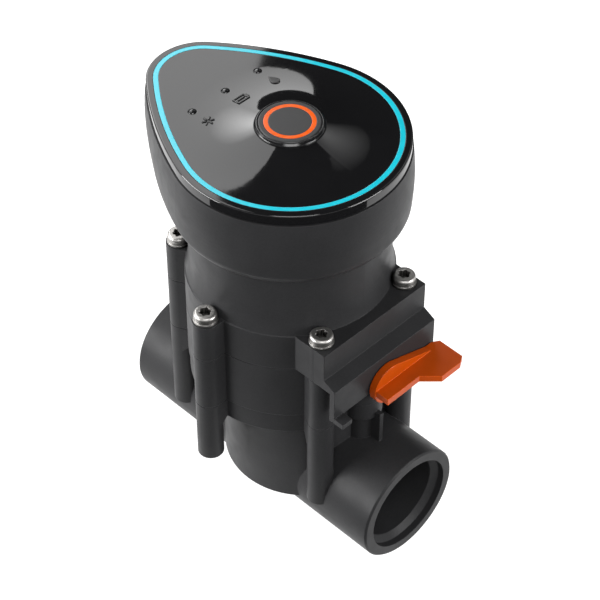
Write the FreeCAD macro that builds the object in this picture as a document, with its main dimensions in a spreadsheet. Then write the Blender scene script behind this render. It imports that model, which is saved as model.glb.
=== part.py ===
import FreeCAD, Part
import math
import os
from types import SimpleNamespace

import Sketcher
from FreeCAD import Placement, Rotation, Vector

# Driving dimensions in millimetres. Heights and reaches are steps from the piece that carries them,
# so a change of one size moves what stands on it. Lengths along the pipe are measured from the
# valve's own upright axis.
SIZES = {
    # Pipe run: one straight tube with a threaded mouth at each end
    "half_length": 55.7,
    "tube_radius": 20.9,
    "mouth_radius": 17.1,
    "mouth_depth": 2.3,
    "mouth_cone": 2.0,
    "mouth_chamfer": 0.6,
    "thread_radius": 15.15,
    "thread_length": 15.7,
    "flow_radius": 12.5,
    # Cup and band of the valve body, and the ring and flange stacked on them
    "cup_radius": 27.3,
    "cup_hang": 4.6,
    "cup_wall": 3.0,
    "band_inset": 0.4,
    "band_rise": 9.1,
    "band_height": 8.2,
    "ring_radius": 34.2,
    "ring_wall": 8.2,
    "ring_height": 21.8,
    "flange_height": 14.5,
    "joint_gap": 0.3,
    # Water way through the body
    "chamber_depth": 5.2,
    "chamber_rise": 3.0,
    "seat_drop": 4.2,
    "seat_radius": 10.0,
    "seat_wall": 2.0,
    "divider": 2.8,
    "rise_width": 20.0,
    "column_sump": 3.5,
    # Posts and the long screws in them
    "bolt_spread": 3.3,
    "post_radius": 4.4,
    "post_sink": 6.2,
    "short_post_drop": 16.7,
    "long_post_drop": 29.1,
    "post_web": 2.6,
    "web_sink": 2.0,
    "screw_radius": 2.0,
    "screw_play": 0.05,
    "screw_clearance": 0.2,
    "screw_reach": 54.0,
    "screw_head_radius": 4.05,
    "screw_head_height": 3.54,
    "screw_flange_height": 0.9,
    "screw_head_step": 0.3,
    "screw_head_side": 2.5,
    "screw_head_flat": 2.95,
    "screw_head_round": 1.1,
    "screw_head_play": 0.1,
    "recess_radius": 1.85,
    "recess_lobe": 0.6,
    "recess_waist": 0.8,
    "recess_depth": 2.3,
    # Pillar that carries bled water down to the outlet
    "pillar_inset": 1.1,
    "pillar_radius": 5.1,
    "collar_radius": 6.8,
    "collar_height": 6.9,
    "collar_drop": 1.2,
    "pillar_rib_reach": 8.9,
    "pillar_rib_drop": 4.4,
    "pillar_rib_width": 1.6,
    "bleed_radius": 1.3,
    "pillar_seal": 2.6,
    # Bracket moulded on the bonnet, with the two stops of the lever
    "bracket_half_width": 23.05,
    "bracket_setback": 2.6,
    "bracket_step": 4.0,
    "bracket_slope": 2.3,
    "plate_play": 0.6,
    "plate_thickness": 2.1,
    "plate_drop": 1.7,
    "stop_depth": 3.8,
    "stop_height": 1.9,
    "stop_play": 0.13,
    "stop_width": 4.2,
    # Lever and its spindle
    "lever_drop": 8.9,
    "lever_play": 0.3,
    "hub_radius": 7.28,
    "hub_thickness": 2.5,
    "blade_thickness": 2.54,
    "blade_root": -6.8,
    "blade_depth": 7.6,
    "blade_shoulder": 7.8,
    "blade_flare": 5.2,
    "blade_end": 24.2,
    "blade_corner": 1.5,
    "blade_taper": 2.5,
    "blade_web_end": 19.0,
    "blade_web_lean": 20.0,
    "spindle_radius": 3.0,
    "spindle_play": 0.08,
    "spindle_tail": 5.5,
    "spindle_groove": 0.8,
    "spindle_ring_gap": 3.6,
    # Bonnet neck and its inner web
    "neck_inset": 1.5,
    "neck_wall": 2.8,
    "neck_height": 29.0,
    "neck_flare": 9.5,
    "web_rise": 4.0,
    "web_thickness": 4.0,
    "bonnet_ledge": 2.0,
    "seal_offset": 3.0,
    "seal_cord": 0.8,
    "seal_play": 0.03,
    # Diaphragm and what moves with it
    "bead_inset": 0.5,
    "bead_width": 2.9,
    "bead_height": 1.0,
    "bead_play": 0.1,
    "roll_half": 4.0,
    "roll_round": 5.0,
    "roll_inner_half": 3.2,
    "roll_inner_round": 3.6,
    "rubber": 1.4,
    "seat_gap": 0.1,
    "washer_height": 2.0,
    "washer_lap": 0.6,
    "holder_rim": 0.7,
    "holder_plate": 1.5,
    "upper_plate": 2.0,
    "plate_lap": 1.4,
    "bolt_shank": 2.5,
    "bolt_head": 4.5,
    "bolt_head_height": 2.4,
    "bolt_tail": 0.7,
    "nut_height": 3.0,
    "nut_radius": 4.5,
    "spring_radius": 9.0,
    "spring_wire": 0.6,
    "spring_turns": 6,
    # Latching solenoid on the bonnet's web
    "guide_bore": 4.2,
    "guide_wall": 0.8,
    "guide_flange": 9.0,
    "guide_flange_height": 2.0,
    "guide_height": 21.0,
    "guide_seal": 7.0,
    "core_length": 6.5,
    "plunger_play": 0.2,
    "plunger_gap": 2.0,
    "pilot_radius": 0.8,
    "pilot_boss": 1.2,
    "pilot_seal": 1.2,
    "pilot_feed": 0.6,
    "plunger_spring_wire": 0.25,
    "plunger_spring_radius": 2.2,
    "plunger_spring_turns": 5,
    "plunger_pocket": 5.0,
    "bobbin_flange": 1.2,
    "bobbin_wall": 0.8,
    "bobbin_radius": 11.0,
    "coil_inset": 0.6,
    "can_wall": 1.3,
    "can_play": 0.15,
    "tab_length": 5.05,
    "tab_half_width": 3.2,
    "tab_screw_setback": 2.35,
    "tab_screw_reach": 3.2,
    "magnet_height": 1.6,
    "magnet_radius": 8.0,
    "terminal_height": 1.2,
    "terminal_radius": 11.5,
    "stud_offset": 6.0,
    "stud_radius": 1.6,
    "stud_height": 0.6,
    # Control head: a pear-shaped outline made of two circles joined by long side arcs. The light
    # ring's middle line is the outline itself, and every other outline lies beside it.
    "outline_lap": 0.2,
    "nose_radius": 14.6,
    "nose_offset": 39.0,
    "side_radius": 122.0,
    "shell_rise": 21.0,
    "rim_spread": 3.5,
    "belly_rise": 11.5,
    "belly_spread": 4.5,
    "belly_round": 7.0,
    "waist_drop": 2.5,
    "waist_spread": 3.7,
    "waist_nose_spread": 10.0,
    "waist_nose_pull": 11.8,
    "skirt_height": 3.0,
    "skirt_lip": 0.6,
    "skirt_nose_radius": 31.2,
    "skirt_nose_offset": 12.3,
    "head_play": 0.3,
    "shell_wall": 2.2,
    "lid_seam": 0.4,
    "lid_height": 3.5,
    "lid_spread": 3.2,
    "lid_thickness": 2.0,
    "lid_edge": 0.6,
    "gasket_inset": 0.9,
    "gasket_width": 1.0,
    "ring_width": 1.6,
    "ring_depth": 0.9,
    "dome_inset": 0.4,
    "dome_rise": 3.3,
    "crest_land": 2.45,
    "led_row": 28.4,
    "led_pitch": 14.06,
    "led_radius": 1.32,
    "led_crown": 0.7,
    "led_play": 0.03,
    # Button
    "bezel_radius": 10.95,
    "bezel_wall": 0.95,
    "bezel_floor": 1.6,
    "bezel_proud": 1.2,
    "bezel_chamfer": 0.6,
    "bezel_play": 0.05,
    "cap_play": 0.15,
    "cap_proud": 0.2,
    "cap_edge": 0.3,
    "cap_flange_height": 1.0,
    "cap_stem": 3.0,
    "halo_inner": 6.7,
    "halo_width": 1.43,
    "halo_depth": 1.0,
    "button_travel": 0.7,
    # Inside the control head
    "base_wall": 1.4,
    "base_depth": 9.5,
    "base_floor_thickness": 2.6,
    "base_flange": 2.2,
    "standoff_inset": 2.95,
    "standoff_radius": 2.8,
    "small_screw": 0.9,
    "small_head": 1.4,
    "small_head_height": 1.3,
    "base_screw_inset": 1.0,
    "base_screw_reach": 4.6,
    "board_drop": 8.5,
    "board_thickness": 1.6,
    "board_play": 0.3,
    "board_screw_reach": 7.0,
    "battery_length": 46.0,
    "battery_width": 26.5,
    "battery_height": 17.5,
    "battery_shift": 1.5,
    "terminal_length": 2.5,
    "terminal_spacing": 12.7,
    "battery_stud": 2.8,
    "cradle_thickness": 1.0,
    "cradle_inset": 3.0,
    "cradle_lip": 8.0,
    "clasp_width": 20.0,
    "clasp_thickness": 1.4,
    "switch_size": 6.2,
    "switch_height": 3.5,
    "switch_stem": 1.7,
    "switch_stem_play": 0.1,
    "switch_stem_depth": 0.9,
    "chip_size": 1.6,
    "chip_height": 0.8,
    "module_length": 14.0,
    "module_width": 12.0,
    "module_height": 2.4,
    "module_gap": 0.8,
    "pin_radius": 0.8,
}

POST_ANGLES = [30 + 60 * step for step in range(6)]
SHORT_POST_ANGLES = [90, 270]
STANDOFF_ANGLES = [45 + 90 * step for step in range(4)]
BASE_SCREW_ANGLES = [90 * step for step in range(4)]
LED_PLACES = [-1, 0, 1]


class Size(float):
    """A length that remembers the spreadsheet expression it was worked out from."""

    def __new__(cls, value, text):
        size = float.__new__(cls, value)
        size.text = text
        return size

    def __add__(self, other):
        return Size(float(self) + float(other), f"({self.text} + {text_of(other)})")

    def __radd__(self, other):
        return Size(float(other) + float(self), f"({text_of(other)} + {self.text})")

    def __sub__(self, other):
        return Size(float(self) - float(other), f"({self.text} - {text_of(other)})")

    def __rsub__(self, other):
        return Size(float(other) - float(self), f"({text_of(other)} - {self.text})")

    def __mul__(self, other):
        return Size(float(self) * float(other), f"({self.text} * {text_of(other)})")

    def __rmul__(self, other):
        return Size(float(other) * float(self), f"({text_of(other)} * {self.text})")

    def __truediv__(self, other):
        return Size(float(self) / float(other), f"({self.text} / {text_of(other)})")

    def __neg__(self):
        return Size(-float(self), f"(0 - {self.text})")


def text_of(number):
    """The spreadsheet expression of a size, or the digits of a plain number."""
    if isinstance(number, Size):
        return number.text
    return f"{float(number):.9g}"


def across(radius, degrees):
    """The sideways share of a radius at an angle."""
    return Size(float(radius) * math.cos(math.radians(degrees)), f"({text_of(radius)} * cos({degrees}))")


def upward(radius, degrees):
    """The upward share of a radius at an angle."""
    return Size(float(radius) * math.sin(math.radians(degrees)), f"({text_of(radius)} * sin({degrees}))")


doc = FreeCAD.newDocument("irrigation_valve")
sheet = doc.addObject("Spreadsheet::Sheet", "sizes")
for row, (name, value) in enumerate(SIZES.items(), start=1):
    sheet.set(f"A{row}", name)
    sheet.set(f"B{row}", str(value))
    sheet.setAlias(f"B{row}", name)
doc.recompute()
mm = SimpleNamespace(**{name: Size(sheet.get(name), f"sizes.{name}") for name in SIZES})

# Radii, reaches and heights that follow from the sizes
mm.band_radius = mm.ring_radius - mm.band_inset
mm.cup_centre = mm.band_radius - mm.cup_radius
mm.chamber_radius = mm.ring_radius - mm.ring_wall
mm.bolt_radius = mm.ring_radius + mm.bolt_spread
mm.post_root = mm.ring_radius - mm.post_sink
mm.pillar_offset = mm.ring_radius - mm.pillar_inset
mm.plate_back = mm.pillar_offset + mm.collar_radius + mm.plate_play
mm.plate_front = mm.plate_back + mm.plate_thickness
mm.lever_back = mm.plate_front + mm.lever_play
mm.neck_radius = mm.ring_radius - mm.neck_inset
mm.outline_radius = mm.ring_radius + mm.outline_lap
mm.neck_bore = mm.neck_radius - mm.neck_wall
mm.bonnet_bore = mm.chamber_radius - mm.bonnet_ledge
mm.bonnet_seal = mm.chamber_radius + mm.seal_offset
mm.bead_inner = mm.chamber_radius + mm.bead_inset
mm.bead_outer = mm.bead_inner + mm.bead_width
mm.washer_radius = mm.seat_radius + mm.seat_wall + mm.washer_lap
mm.upper_plate_radius = mm.washer_radius + mm.plate_lap
mm.can_inner = mm.bobbin_radius + mm.can_play
mm.can_outer = mm.can_inner + mm.can_wall

mm.band_floor = mm.tube_radius + mm.band_rise
mm.split_low = mm.band_floor + mm.band_height
mm.split_high = mm.split_low + mm.ring_height
mm.flange_top = mm.split_high + mm.flange_height
mm.neck_top = mm.flange_top + mm.neck_height
mm.seat_height = mm.split_low - mm.seat_drop
mm.chamber_floor = mm.flow_radius + mm.chamber_rise
mm.lever_height = mm.split_high - mm.lever_drop
mm.plate_floor = mm.lever_height - mm.plate_drop
mm.stop_top = mm.lever_height - mm.blade_thickness / 2 - mm.stop_play
mm.web_floor = mm.split_high + mm.web_rise
mm.web_top = mm.web_floor + mm.web_thickness
mm.guide_top = mm.web_top + mm.guide_height
mm.core_floor = mm.guide_top - mm.core_length
mm.waist_height = mm.neck_top - mm.waist_drop
mm.belly_height = mm.neck_top + mm.belly_rise
mm.shell_rim = mm.neck_top + mm.shell_rise
mm.lid_floor = mm.shell_rim + mm.lid_seam
mm.lid_top = mm.lid_floor + mm.lid_height
mm.base_floor = mm.neck_top - mm.base_depth
mm.base_screw_circle = mm.outline_radius + mm.waist_spread - mm.shell_wall - mm.small_head - mm.head_play / 2
mm.standoff_circle = mm.base_screw_circle - mm.standoff_inset
mm.board_floor = mm.shell_rim - mm.board_drop
mm.board_top = mm.board_floor + mm.board_thickness
mm.origin_shift = mm.half_length - mm.mouth_depth - mm.mouth_cone

sub_parts = []


def place(item, x=0.0, y=0.0, z=0.0, turn=Rotation()):
    """Put a finished sub-part at its place about the valve's upright axis, and list it. The model's
    own origin is on the pipe axis where the inlet's thread begins."""
    spot = (mm.origin_shift + x, y, z)
    item.Placement = Placement(Vector(*[float(value) for value in spot]), turn)
    for axis, value in zip("xyz", spot):
        if isinstance(value, Size):
            item.setExpression(f"Placement.Base.{axis}", value.text)
    sub_parts.append(item)
    return item


def new_body(label):
    body = doc.addObject("PartDesign::Body", label)
    body.Label = label
    return body


def sketch_on(body, role, offset=0.0, turn=0.0):
    """An empty sketch on one of the body's own planes, moved along and turned about its normal."""
    plane = next(item for item in body.Origin.OriginFeatures if item.Role == role)
    sketch = body.newObject("Sketcher::SketchObject", body.Name + "_sketch")
    sketch.AttachmentSupport = (plane, [""])
    sketch.MapMode = "FlatFace"
    sketch.AttachmentOffset = Placement(Vector(0, 0, float(offset)), Rotation(Vector(0, 0, 1), turn))
    if isinstance(offset, Size):
        sketch.setExpression("AttachmentOffset.Base.z", offset.text)
    return sketch


def pin_point(sketch, shape, end, x, y):
    """Fix one point of a sketch at x and y, each bound to the sheet."""
    for kind, axis_line, value in (("DistanceX", -2, x), ("DistanceY", -1, y)):
        if float(value) == 0.0:
            sketch.addConstraint(Sketcher.Constraint("PointOnObject", shape, end, axis_line))
        else:
            number = sketch.addConstraint(Sketcher.Constraint(kind, shape, end, float(value)))
            if isinstance(value, Size):
                sketch.setExpression(f"Constraints[{number}]", value.text)


def draw_outline(sketch, corners):
    """A closed outline. A corner (x, y) starts a line to the next, and (x, y, radius) starts an arc:
    anticlockwise where the radius is positive, clockwise where it is negative."""
    shapes = []
    for corner, after in zip(corners, corners[1:] + corners[:1]):
        start = Vector(float(corner[0]), float(corner[1]), 0)
        end = Vector(float(after[0]), float(after[1]), 0)
        if len(corner) == 2:
            shapes.append((sketch.addGeometry(Part.LineSegment(start, end)), 1, 2))
            continue
        radius = abs(float(corner[2]))
        half = (end - start) / 2
        left = Vector(-half.y, half.x, 0).normalize()
        side = 1 if corner[2] > 0 else -1
        centre = start + half + left * side * math.sqrt(max(radius**2 - half.Length**2, 0.0))
        first, last = (start, end) if side > 0 else (end, start)
        angles = [math.atan2(point.y - centre.y, point.x - centre.x) for point in (first, last)]
        circle = Part.Circle(centre, Vector(0, 0, 1), radius)
        number = sketch.addGeometry(Part.ArcOfCircle(circle, *angles))
        shapes.append((number, 1, 2) if side > 0 else (number, 2, 1))
    for (shape, _, end), (after, start, _) in zip(shapes, shapes[1:] + shapes[:1]):
        sketch.addConstraint(Sketcher.Constraint("Coincident", shape, end, after, start))
    for (shape, start, _), corner, after in zip(shapes, corners, corners[1:] + corners[:1]):
        pin_point(sketch, shape, start, corner[0], corner[1])
        if len(corner) == 3 and abs(math.dist(corner[:2], after[:2]) - 2 * abs(corner[2])) < 0.0001:
            # A half circle between two points one above the other is held by its centre
            number = sketch.addConstraint(Sketcher.Constraint("DistanceX", shape, 3, float(corner[0])))
            sketch.setExpression(f"Constraints[{number}]", text_of(corner[0]))
        elif len(corner) == 3:
            number = sketch.addConstraint(Sketcher.Constraint("Radius", shape, abs(float(corner[2]))))
            if isinstance(corner[2], Size):
                sketch.setExpression(f"Constraints[{number}]", f"abs({corner[2].text})")
    return sketch


def draw_circle(sketch, x, y, radius):
    shape = sketch.addGeometry(Part.Circle(Vector(float(x), float(y), 0), Vector(0, 0, 1), float(radius)))
    pin_point(sketch, shape, 3, x, y)
    number = sketch.addConstraint(Sketcher.Constraint("Radius", shape, float(radius)))
    if isinstance(radius, Size):
        sketch.setExpression(f"Constraints[{number}]", radius.text)
    return sketch


def rectangle(x_low, x_high, y_low, y_high):
    return [(x_low, y_low), (x_high, y_low), (x_high, y_high), (x_low, y_high)]


def slot_outline(root, centre, radius):
    """A straight rib from its root out to a round end."""
    return [(root, -radius), (centre, -radius, radius), (centre, radius), (root, radius)]


def swept(body, kind, sketch, axis):
    """A revolution that adds material, or a groove that cuts it, about one axis of the sketch."""
    feature = body.newObject("PartDesign::" + kind, body.Name + "_" + kind)
    feature.Profile = (sketch, [""])
    feature.ReferenceAxis = (sketch, [axis])
    feature.Angle = 360
    return feature


def extruded(body, kind, sketch, length, reverse=False):
    """A pad or a pocket of a sketch, to a length bound to the sheet."""
    feature = body.newObject("PartDesign::" + kind, body.Name + "_" + kind)
    feature.Profile = (sketch, [""])
    feature.Length = float(length)
    feature.Reversed = reverse
    if isinstance(length, Size):
        feature.setExpression("Length", length.text)
    return feature


def pad_up(body, outline, floor, top, turn=0.0):
    """A pad of an outline, from one height to another."""
    sketch = draw_outline(sketch_on(body, "XY_Plane", floor, turn), outline)
    return extruded(body, "Pad", sketch, top - floor)


def pad_disc(body, radius, floor, top, x=0.0):
    sketch = draw_circle(sketch_on(body, "XY_Plane", floor), x, 0.0, radius)
    return extruded(body, "Pad", sketch, top - floor)


def cut_down(body, sketch, depth):
    """A pocket that goes down from its sketch."""
    return extruded(body, "Pocket", sketch, depth)


def turned(label, outline):
    """A body turned about its own upright axis from an outline of (radius, height) corners."""
    body = new_body(label)
    swept(body, "Revolution", draw_outline(sketch_on(body, "XZ_Plane"), outline), "V_Axis")
    return body


def tube_outline(inner, outer, floor, top):
    return rectangle(inner, outer, floor, top)


def ring_of(angles, radius):
    """Places on a circle about the upright axis, as (x, y) pairs bound to the sheet."""
    return [(across(radius, angle), upward(radius, angle)) for angle in angles]


def group(label, shapes):
    """One sub-part of several alike solids."""
    item = doc.addObject("Part::Feature", label)
    item.Label = label
    item.Shape = Part.makeCompound(shapes)
    return item


def moved(shape, x=0.0, y=0.0, z=0.0):
    copy = shape.copy()
    copy.translate(Vector(float(x), float(y), float(z)))
    return copy


def solid_part(label, shape):
    item = doc.addObject("Part::Feature", label)
    item.Label = label
    item.Shape = shape
    return item


# Valve body: the pipe run, the cup and band around the seat, and the lower ends of the posts
def pad_side(body, outline, thickness, swing=0.0):
    """A pad of an upright outline that stands evenly on both sides of a radial plane."""
    sketch = sketch_on(body, "XZ_Plane")
    sketch.AttachmentOffset = Placement(Vector(), Rotation(Vector(0, 1, 0), swing))
    feature = extruded(body, "Pad", draw_outline(sketch, outline), thickness)
    feature.SideType = "Symmetric"
    return feature


def pad_ribs(body, floor, top, radius, angles=POST_ANGLES):
    for angle in angles:
        pad_up(body, slot_outline(mm.post_root, mm.bolt_radius, radius), floor, top, angle)


def drill_posts(body, top, depth, play):
    for angle in POST_ANGLES:
        sketch = sketch_on(body, "XY_Plane", top, angle)
        cut_down(body, draw_circle(sketch, mm.bolt_radius, 0.0, mm.screw_radius + play), depth)


def cut_disc(body, radius, top, floor, x=0.0, island=None):
    """A round pocket between two heights, with an island left about the upright axis if asked."""
    sketch = draw_circle(sketch_on(body, "XY_Plane", top), x, 0.0, radius)
    if island is not None:
        draw_circle(sketch, 0.0, 0.0, island)
    return cut_down(body, sketch, top - floor)


def seal_seat(body, middle, top):
    """A ring groove as deep as its seal is thick."""
    sketch = draw_circle(sketch_on(body, "XY_Plane", top), 0.0, 0.0, middle + mm.seal_cord)
    return cut_down(body, draw_circle(sketch, 0.0, 0.0, middle - mm.seal_cord), mm.seal_cord * 2)


def cut_toward_pipe_end(body, front, back, radius):
    """A round hole along the pipe's direction at the lever's height."""
    sketch = draw_circle(sketch_on(body, "YZ_Plane", front), 0.0, mm.lever_height, radius)
    return extruded(body, "Pocket", sketch, front - back)


def bore_profile(sign, inner_end):
    """The mouth, cone, thread wall and flow bore on one side of the pipe run."""
    end = mm.half_length * sign
    thread_start = (mm.mouth_depth + mm.mouth_cone) * sign
    thread_end = thread_start + mm.thread_length * sign
    return [
        (end, 0.0),
        (end, mm.mouth_radius),
        (end - mm.mouth_depth * sign, mm.mouth_radius),
        (end - thread_start, mm.thread_radius),
        (end - thread_end, mm.thread_radius),
        (end - thread_end, mm.flow_radius),
        (inner_end, mm.flow_radius),
        (inner_end, 0.0),
    ]


def make_valve_body():
    body = new_body("valve_body")
    shoulder = mm.tube_radius - mm.mouth_chamfer
    tube = [
        (-mm.half_length, 0.0),
        (-mm.half_length, shoulder),
        (mm.mouth_chamfer - mm.half_length, mm.tube_radius),
        (mm.half_length - mm.mouth_chamfer, mm.tube_radius),
        (mm.half_length, shoulder),
        (mm.half_length, 0.0),
    ]
    swept(body, "Revolution", draw_outline(sketch_on(body, "XZ_Plane"), tube), "H_Axis")
    rim = mm.split_low - mm.joint_gap
    pad_disc(body, mm.cup_radius, -mm.cup_hang, rim, mm.cup_centre)
    pad_disc(body, mm.band_radius, mm.band_floor, rim)
    pad_disc(body, mm.band_radius - mm.joint_gap, rim, mm.split_low)
    pad_ribs(body, mm.band_floor, rim, mm.post_radius)
    pad_ribs(body, rim, mm.split_low, mm.post_radius - mm.joint_gap)
    gusset = [
        (mm.post_root, mm.band_floor),
        (mm.band_radius, mm.band_floor),
        (mm.bolt_radius, mm.band_floor - (mm.bolt_radius - mm.band_radius)),
        (mm.bolt_radius, rim),
        (mm.post_root, rim),
    ]
    for angle in POST_ANGLES:
        short = angle in SHORT_POST_ANGLES
        foot = mm.band_floor - (mm.short_post_drop if short else mm.long_post_drop)
        sketch = draw_circle(sketch_on(body, "XY_Plane", foot, angle), mm.bolt_radius, 0.0, mm.post_radius)
        extruded(body, "Pad", sketch, rim - foot)
        pad_side(body, gusset, mm.post_radius * 2, angle)
        if not short:
            root = mm.cup_radius + across(mm.cup_centre, angle) - mm.web_sink
            web = rectangle(root, mm.bolt_radius, foot, mm.band_floor)
            pad_side(body, web, mm.post_web, angle)
    collar_floor = mm.split_low - mm.collar_height
    pad_disc(body, mm.pillar_radius, mm.thread_radius, collar_floor, mm.pillar_offset)
    pad_disc(body, mm.collar_radius, collar_floor, mm.split_low, mm.pillar_offset)
    rib_end = mm.pillar_offset + mm.pillar_rib_reach
    pillar_rib = rectangle(mm.pillar_offset, rib_end, mm.thread_radius, mm.split_low - mm.pillar_rib_drop)
    pad_side(body, pillar_rib, mm.pillar_rib_width)
    # Water way: ring chamber under the diaphragm, seat column, rise from the inlet and both bores
    column = mm.seat_radius + mm.seat_wall
    cup_bore = mm.cup_radius - mm.cup_wall
    ceiling = mm.split_low - mm.chamber_depth
    cut_disc(body, cup_bore, ceiling, mm.chamber_floor, mm.cup_centre, column)
    cut_disc(body, mm.chamber_radius, mm.split_low, ceiling, 0.0, column)
    cut_disc(body, column + mm.seat_wall, mm.split_low, mm.seat_height)
    cut_disc(body, mm.bead_outer + mm.bead_play, mm.split_low, mm.split_low - mm.bead_height)
    cut_disc(body, mm.seat_radius, mm.seat_height, mm.column_sump - mm.flow_radius)
    half = mm.rise_width / 2
    rise = rectangle(mm.cup_centre - cup_bore, -(mm.seat_radius + mm.divider), -half, half)
    cut_down(body, draw_outline(sketch_on(body, "XY_Plane", mm.chamber_floor), rise), mm.chamber_floor)
    for sign, inner_end in ((-1, -(mm.seat_radius + mm.divider)), (1, 0.0)):
        sketch = draw_outline(sketch_on(body, "XZ_Plane"), bore_profile(sign, inner_end))
        swept(body, "Groove", sketch, "H_Axis")
    cut_disc(body, mm.bleed_radius, mm.split_low, mm.flow_radius - mm.bleed_radius, mm.pillar_offset)
    seal = sketch_on(body, "XY_Plane", mm.split_low)
    for side in (1, -1):
        draw_circle(seal, mm.pillar_offset, 0.0, mm.pillar_seal + mm.seal_cord * side)
    cut_down(body, seal, mm.seal_cord * 2)
    screw_end = mm.flange_top - mm.screw_reach
    drill_posts(body, mm.split_low, mm.split_low - screw_end + mm.bleed_radius, mm.screw_play)
    return place(body)


def make_middle_ring():
    body = new_body("middle_ring")
    rim = mm.split_high - mm.joint_gap
    pad_disc(body, mm.ring_radius, mm.split_low, rim)
    pad_disc(body, mm.ring_radius - mm.joint_gap, rim, mm.split_high)
    pad_ribs(body, mm.split_low, rim, mm.post_radius)
    pad_ribs(body, rim, mm.split_high, mm.post_radius - mm.joint_gap)
    boss = slot_outline(mm.post_root, mm.pillar_offset, mm.collar_radius)
    pad_up(body, boss, mm.split_low, mm.split_high - mm.collar_drop)
    cut_disc(body, mm.chamber_radius, mm.split_high, mm.split_low)
    cut_disc(body, mm.bead_outer + mm.bead_play, mm.split_low + mm.bead_height, mm.split_low)
    seal_seat(body, mm.bonnet_seal, mm.split_high)
    drill_posts(body, mm.split_high, mm.split_high - mm.split_low, mm.screw_clearance)
    front = mm.pillar_offset + mm.collar_radius
    spindle_bore = mm.spindle_radius + mm.spindle_play
    cut_toward_pipe_end(body, front, mm.pillar_offset - mm.spindle_tail - mm.lever_play, spindle_bore)
    cut_toward_pipe_end(body, front, mm.chamber_radius - mm.spindle_radius, mm.bleed_radius)
    cut_disc(body, mm.bleed_radius, mm.lever_height, mm.split_low, mm.pillar_offset)
    return place(body)


def make_bonnet():
    body = new_body("bonnet")
    rim = mm.ring_radius - mm.joint_gap
    step = rim - mm.neck_radius
    flare = (mm.neck_flare * mm.neck_flare + step * step) / (step * 2)
    outside = [
        (0.0, mm.split_high),
        (mm.ring_radius, mm.split_high),
        (mm.ring_radius, mm.flange_top - mm.joint_gap),
        (rim, mm.flange_top, -flare),
        (mm.neck_radius, mm.flange_top + mm.neck_flare),
        (mm.neck_radius, mm.neck_top),
        (0.0, mm.neck_top),
    ]
    swept(body, "Revolution", draw_outline(sketch_on(body, "XZ_Plane"), outside), "V_Axis")
    pad_ribs(body, mm.split_high, mm.flange_top, mm.post_radius)
    step_height = mm.split_high + mm.bracket_step
    face = mm.plate_back - mm.bracket_setback
    bracket = [
        (0.0, mm.split_high),
        (mm.plate_back, mm.split_high),
        (mm.plate_back, mm.plate_floor),
        (mm.plate_front, mm.plate_floor),
        (mm.plate_front, step_height - mm.bracket_slope),
        (face, step_height),
        (face, mm.flange_top),
        (0.0, mm.flange_top),
    ]
    pad_side(body, bracket, mm.bracket_half_width * 2)
    inner = mm.bracket_half_width - mm.stop_width
    for low, high in ((inner, mm.bracket_half_width), (-mm.bracket_half_width, -inner)):
        stop = rectangle(mm.plate_back, mm.plate_front + mm.stop_depth, low, high)
        pad_up(body, stop, mm.stop_top - mm.stop_height, mm.stop_top)
    cut_disc(body, mm.bonnet_bore, mm.web_floor, mm.split_high)
    cut_disc(body, mm.neck_bore, mm.neck_top, mm.web_top)
    pad_disc(body, mm.pilot_radius + mm.pilot_boss, mm.web_floor, mm.web_top + mm.pilot_boss)
    cut_disc(body, mm.pilot_radius, mm.web_top + mm.pilot_boss, mm.web_floor)
    cut_disc(body, mm.pilot_feed, mm.web_top, mm.web_floor, mm.guide_bore - mm.pilot_feed)
    seal_seat(body, mm.guide_seal, mm.web_top)
    for side in (1, -1):
        spot = sketch_on(body, "XY_Plane", mm.web_top)
        draw_circle(spot, 0.0, (mm.can_outer + mm.tab_screw_setback) * side, mm.small_screw + mm.screw_play)
        cut_down(body, spot, mm.tab_screw_reach)
    head_room = mm.screw_head_radius - mm.screw_radius + mm.screw_head_play
    drill_posts(body, mm.flange_top + mm.neck_flare, mm.neck_flare, head_room)
    drill_posts(body, mm.flange_top, mm.flange_top - mm.split_high, mm.screw_clearance)
    cut_toward_pipe_end(body, mm.plate_front, mm.plate_back, mm.spindle_radius + mm.spindle_play * 2)
    return place(body)


# Fasteners
def make_bonnet_screw():
    """One flanged pan-head screw with a six-lobed recess, its seat at height zero."""
    body = new_body("bonnet_screw")
    outline = [
        (0.0, -mm.screw_reach),
        (mm.screw_radius - mm.joint_gap * 2, -mm.screw_reach),
        (mm.screw_radius, mm.screw_radius - mm.screw_reach),
        (mm.screw_radius, 0.0),
        (mm.screw_head_radius, 0.0),
        (mm.screw_head_radius, mm.screw_flange_height),
        (mm.screw_head_radius - mm.screw_head_step, mm.screw_flange_height + mm.screw_head_step / 2),
        (mm.screw_head_radius - mm.screw_head_step, mm.screw_head_side, mm.screw_head_round),
        (mm.screw_head_flat, mm.screw_head_height),
        (0.0, mm.screw_head_height),
    ]
    swept(body, "Revolution", draw_outline(sketch_on(body, "XZ_Plane"), outline), "V_Axis")
    corners = []
    for lobe in range(6):
        for offset, bend in ((-15, mm.recess_lobe), (15, -mm.recess_waist)):
            angle = 60 * lobe + offset
            corners.append((across(mm.recess_radius, angle), upward(mm.recess_radius, angle), bend))
    cut_down(body, draw_outline(sketch_on(body, "XY_Plane", mm.screw_head_height), corners), mm.recess_depth)
    return body


def small_screw(reach):
    """A small round-headed screw, its seat at height zero."""
    shank = Part.makeCylinder(mm.small_screw, float(reach), Vector(0, 0, -float(reach)))
    head = Part.makeCylinder(mm.small_head, mm.small_head_height)
    slot = Part.makeBox(mm.small_head, mm.small_screw / 2, mm.small_screw)
    slot.translate(Vector(-mm.small_head / 2, -mm.small_screw / 4, mm.small_head_height - mm.small_screw / 2))
    cross = slot.copy()
    cross.rotate(Vector(), Vector(0, 0, 1), 90)
    return shank.fuse(head).removeSplitter().cut(slot).cut(cross)


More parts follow.
